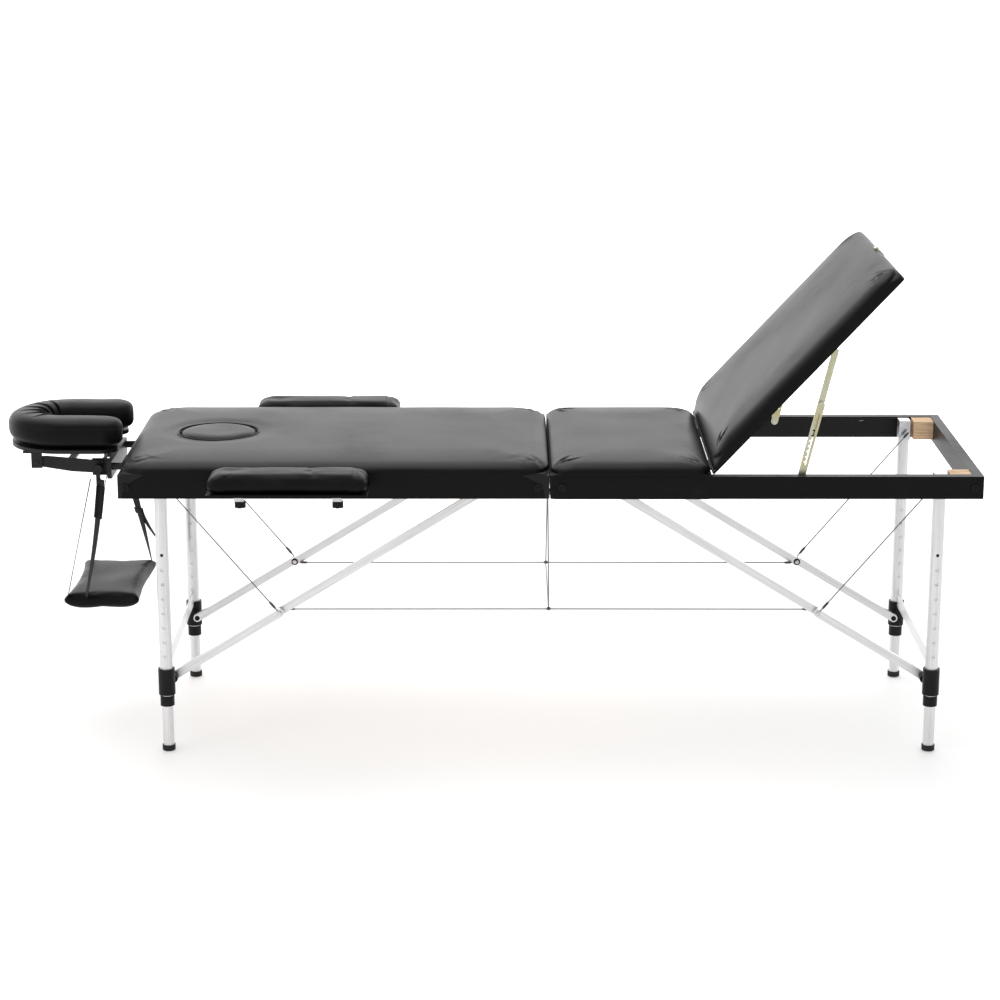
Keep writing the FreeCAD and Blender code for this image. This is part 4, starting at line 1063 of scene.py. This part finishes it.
# %% The horseshoe
def horseshoe():
    """The path's distance gives the centre and the outward direction; the section angle gives how far out and
    up. Pleats are narrow valleys in the bend's angle, strongest on the inner upper side of the section."""
    low, high = span("face_cushion")
    outer = (high[1] - low[1]) / 2
    inner = 0.040
    mean, half = (outer + inner) / 2, (outer - inner) / 2 - 0.0015
    bend_x, tip_x = low[0] + outer, high[0] - (outer - inner) / 2
    straight, bend = tip_x - bend_x, math.pi * mean
    tip = half * np.sin(np.linspace(-math.pi / 2, 0, 22))
    s = np.concatenate([tip, np.linspace(0, straight, 34)[1:], straight + np.linspace(0, bend, 300)[1:],
                        straight + bend + np.linspace(0, straight, 34)[1:],
                        2 * straight + bend - tip[::-1][1:]])[:, None]
    angle = np.clip((s - straight) / mean, 0, math.pi)
    beyond = np.maximum(straight - s, 0) + np.maximum(s - straight - bend, 0)
    out_x, out_y = -np.sin(angle), -np.cos(angle)
    past = np.maximum(-s, 0) + np.maximum(s - 2 * straight - bend, 0)
    wide = np.sqrt(np.clip(1 - (past / half) ** 2, 0, 1))
    turn = np.linspace(0, 2 * math.pi, 112, endpoint=False)[None]

    def soft(value, power=2.7):
        return np.sign(value) * np.abs(value) ** (2 / power)

    tall = (high[2] - low[2]) / 2 - 0.0012
    out = half * wide * soft(np.cos(turn))
    up = tall * wide ** 0.42 * soft(np.sin(turn))
    out = out - 0.0018 * wide * np.exp(-(np.angle(np.exp(1j * (turn - 0.42))) / 0.045) ** 2)
    inner_top = np.exp(-((turn - 2.25) / 0.62) ** 2)
    pleats = sum(np.exp(-((angle - a) / 0.026) ** 2) - 0.55 * np.exp(-((angle - a - 0.062) / 0.045) ** 2)
                 for a in math.pi / 2 + np.linspace(-0.95, 0.95, 6))
    gather = 0.0062 * pleats * inner_top * ((angle > 0) & (angle < math.pi))
    up, out = up - gather, out + gather * 0.6
    x = bend_x + out_x * (mean + out) + beyond
    y = out_y * (mean + out)
    up = up + sway(x, y, 0.10, 31) * 0.0010 * np.clip(np.sin(turn), 0, 1)
    x, y, up = np.broadcast_arrays(x, y, up)
    return np.stack([x, y, (low[2] + high[2]) / 2 + up], axis=2)


stuff(close_mesh(skin("face_horseshoe", horseshoe(), ring=True), 2e-5), "cradle_head", ["face_cushion"],
      cushion_vinyl)

# %% [markdown]
# ## The hanging arm shelf
# A thin cushion in a sling. The straps pull its corners up, so the underside rises there, and its sides bow in
# between them. It is blown up like the armrests.

# %% The shelf cushion
shelf_mid, shelf_half = (shelf_low + shelf_high) / 2, (shelf_high - shelf_low) / 2
shape = stuffed(shelf_half - [0.001, 0.001, 0.0015], 0.012, 0.015, 0.004, power=2.3)
shape = draw_in(shape, shelf_half, 0.010)
corner = (shape[..., 0] / shelf_half[0]) ** 4 * (shape[..., 1] / shelf_half[1]) ** 4
shape[..., 2] = shape[..., 2] * (1 - 0.42 * corner) + 0.40 * corner * shelf_half[2]
shape[..., 2] += sway(shape[..., 0], shape[..., 1], 0.11, 41) * 0.0016
shelf = close_mesh(skin("arm_shelf_cushion", shape + shelf_mid, ring=True), 2e-5)
inflate(shelf)
smooth_skin(shelf)
stuff(shelf, "shelf", ["arm_shelf"], cushion_vinyl)

# %% [markdown]
# ## Buttons, rivets, sliders and a loose tail
# The small parts make the table believable. Black buttons with a sunk ring and a stud sit near the rails'
# corners, domed rivets close the middle joints of the braces, one strap carries a thick slider, and another
# ends in a loose tail. The round ones share one turned profile each, placed many times.

# %% Corner buttons
BUTTON_R = np.array([0.0, 1.6, 2.3, 2.4, 5.0, 5.5, 7.4, 8.0, 8.2, 8.2, 0.0]) / 1000
BUTTON_H = np.array([4.2, 4.1, 3.5, 2.2, 2.2, 4.1, 4.4, 3.8, 2.8, 0.1, 0.1]) / 1000
BUTTON_X, BUTTON_Z = (0.911, 0.026), 0.612             # from the fold line, over the floor
for end, marks in (("head", (-BUTTON_X[0], -BUTTON_X[1])), ("foot", (BUTTON_X[1], BUTTON_X[0]))):
    spots = np.array([(FOLD_X + x, s * (HALF_WIDTH + 0.0014 * (end == "foot" and x < 0.1)), BUTTON_Z)
                      for x in marks for s in (-1, 1)])
    ways = np.sign(spots) * [0.0, 1.0, 0.0]
    put_on(lathe(f"{end}_side_buttons", spots, ways, BUTTON_R, BUTTON_H, 32), f"{end}_half", plastic,
           [f"{end}_corner_buttons"])
print("corner buttons", 8)

# %% Domed rivets on the brace joints
RIVET_R = np.array([0.0, 2.4, 4.2, 4.9, 4.9, 0.0]) / 1000
RIVET_H = np.array([2.2, 1.9, 1.1, 0.2, 0.0, 0.0]) / 1000
for end, sign in (("head", -1), ("foot", 1)):
    low, high = span(f"{end}_lower_braces")
    places = np.array([(FOLD_X + sign * MID_X, y, MID_Z) for y in (low[1], high[1])])
    put_on(lathe(f"{end}_joint_rivets", places, np.sign(places) * [0.0, 1.0, 0.0], RIVET_R, RIVET_H, 28),
           f"{end}_lower_brace", steel)
WASHER_R = np.array([0.0, 5.6, 7.4, 7.9, 7.9, 0.0]) / 1000
WASHER_H = np.array([1.6, 1.6, 1.5, 1.0, 0.0, 0.0]) / 1000
LAYER = 0.1920                                       # inner face of the upper brace bars
for end, sign in (("head", -1), ("foot", 1)):
    places = np.array([(FOLD_X + sign * MID_X, s * (LAYER - 0.0002), MID_Z) for s in (-1, 1)])
    inwards = -np.sign(places) * [0.0, 1.0, 0.0]
    put_on(lathe(f"{end}_joint_washers", places, inwards, WASHER_R, WASHER_H, 28), f"{end}_upper_brace", plastic)
    put_on(lathe(f"{end}_inner_rivets", places + inwards * 0.0025, inwards, RIVET_R, RIVET_H, 28),
           f"{end}_upper_brace", steel)
print("joint rivets", 8, "washers", 4)

# %% Folded corners and staples of the foot frame's wrap
frame_high = span("foot_frame")[1]
for side, s in (("near", -1), ("far", 1)):
    for tag, inset in (("a", 0.006), ("b", 0.019)):
        x, y = frame_high[0] - inset, s * (HALF_WIDTH + 0.0002)
        path = line((x, y, RAIL_LOW + 0.002), (x - 0.003, y, DECK_TOP - 0.006), 30)
        put_on(ribbon(f"foot_fold_{side}_{tag}", path, 0.0075, 0.0012), "foot_half", vinyl)
rail_y = frame_high[1] - 0.0201
x = FOLD_X + np.array([0.430, 0.505, 0.640, 0.745])
pins = np.stack([x, np.full(4, rail_y), np.full(4, DECK_TOP - 0.012)], axis=1)
staples = lathe("foot_staples", pins, (1.0, 0.0, 0.12), BEAD_R * 0.0006, BEAD_H * 0.006, 8)
put_on(staples, "foot_half", steel)
print("four folds and", len(pins), "staples")

# %% A slider and a loose tail
def part_of(path, first, last):
    """The stretch of a path between two shares of its length."""
    return path[int(len(path) * first):int(len(path) * last)]


path, begin = strap_path("b", 120), STRAP_RUNS["b"][3]
slider = ribbon("strap_slider", part_of(path, 0.06, 0.34), 0.024, 0.0085, 0.15, 24, start=begin)
put_on(slider, "shelf", plastic)
path, begin = strap_path("d", 120), STRAP_RUNS["d"][3]
tail = part_of(path, 0.52, 0.80)
share = np.linspace(0, 1, len(tail))[:, None]
tail = tail + np.array([0.026, -0.010, 0.0]) * share ** 1.5 + np.array([0.004, -0.003, 0.0])
put_on(ribbon("strap_tail", tail, 0.019, 0.0017, 0.5, start=begin + 0.7), "shelf", webbing)
buckle = ribbon("strap_buckle", part_of(path, 0.50, 0.56), 0.029, 0.0060, 0.05, 20, start=begin + 0.68)
put_on(buckle, "shelf", plastic)
print("slider, tail and buckle", round(slider.dimensions.length, 3), "m")

# %% [markdown]
# ## Finishes for the parts that stay
# The hard parts keep their own meshes. Each gets the finish of its material, named part by part.

# %% Finishes on the parts
MADE_OF = (
    (aluminium, "head_leg_tubes foot_leg_tubes head_near_lower_tube head_far_lower_tube foot_near_lower_tube "
                "foot_far_lower_tube"),
    (head_brace_metal, "head_upper_braces head_lower_braces"),
    (foot_brace_metal, "foot_upper_braces foot_lower_braces"),
    (wood, "head_frame foot_frame"),
    (vinyl, "foot_skirt backrest_board near_arm_board far_arm_board"),
    (plastic, "head_housings foot_housings rail_sockets head_corner_buttons foot_corner_buttons"),
    (zinc, "ratchet_channels strut_tubes backrest_brackets"),
    (steel, "head_brackets foot_brackets hinge_pins catch_hook near_arm_posts far_arm_posts"),
    (dark_steel, "cradle_posts cradle_arms cradle_platform cam_lever"),
)
PARTS = {name: finish for finish, names in MADE_OF for name in names.split()}
for name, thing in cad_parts.items():
    finish = PARTS.get(name)
    if finish is None:
        finish = (rubber if name.endswith("foot_cap") else steel if name.endswith("snap_button")
                  else plastic if "knob" in name else vinyl)
    if thing.material_slots:
        for place in thing.material_slots:
            place.material = finish
    else:
        thing.data.materials.append(finish)
print(len(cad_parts), "parts finished")

# %% White floor
FRONT_GLOW, BACK_GLOW = 0.29, 1.20                     # the sweep behind glows more than the floor in front
floor_paint = Finish("white studio floor", Specular_IOR_Level=0.2, Emission_Strength=1.0)
far_back = floor_paint.axis(1).step(0.8, 4.2)
floor_paint.set(Emission_Color=floor_paint.blend(far_back, (FRONT_GLOW,) * 3, (BACK_GLOW,) * 3))
scuffs = floor_paint.noise(9.0, 6.0, rough=0.7).step(0.66, 0.80) * floor_paint.noise(1.3, 2.0).step(0.5, 0.7)
floor_paint.set(Base_Color=floor_paint.blend(scuffs * 0.25, (0.66, 0.66, 0.66), (0.48, 0.48, 0.47)),
                Roughness=0.55 + scuffs * 0.2, Normal=floor_paint.raise_by(floor_paint.noise(40.0, 3.0), 0.0002))
floor.data.materials.append(floor_paint.material)
print("floor finished")
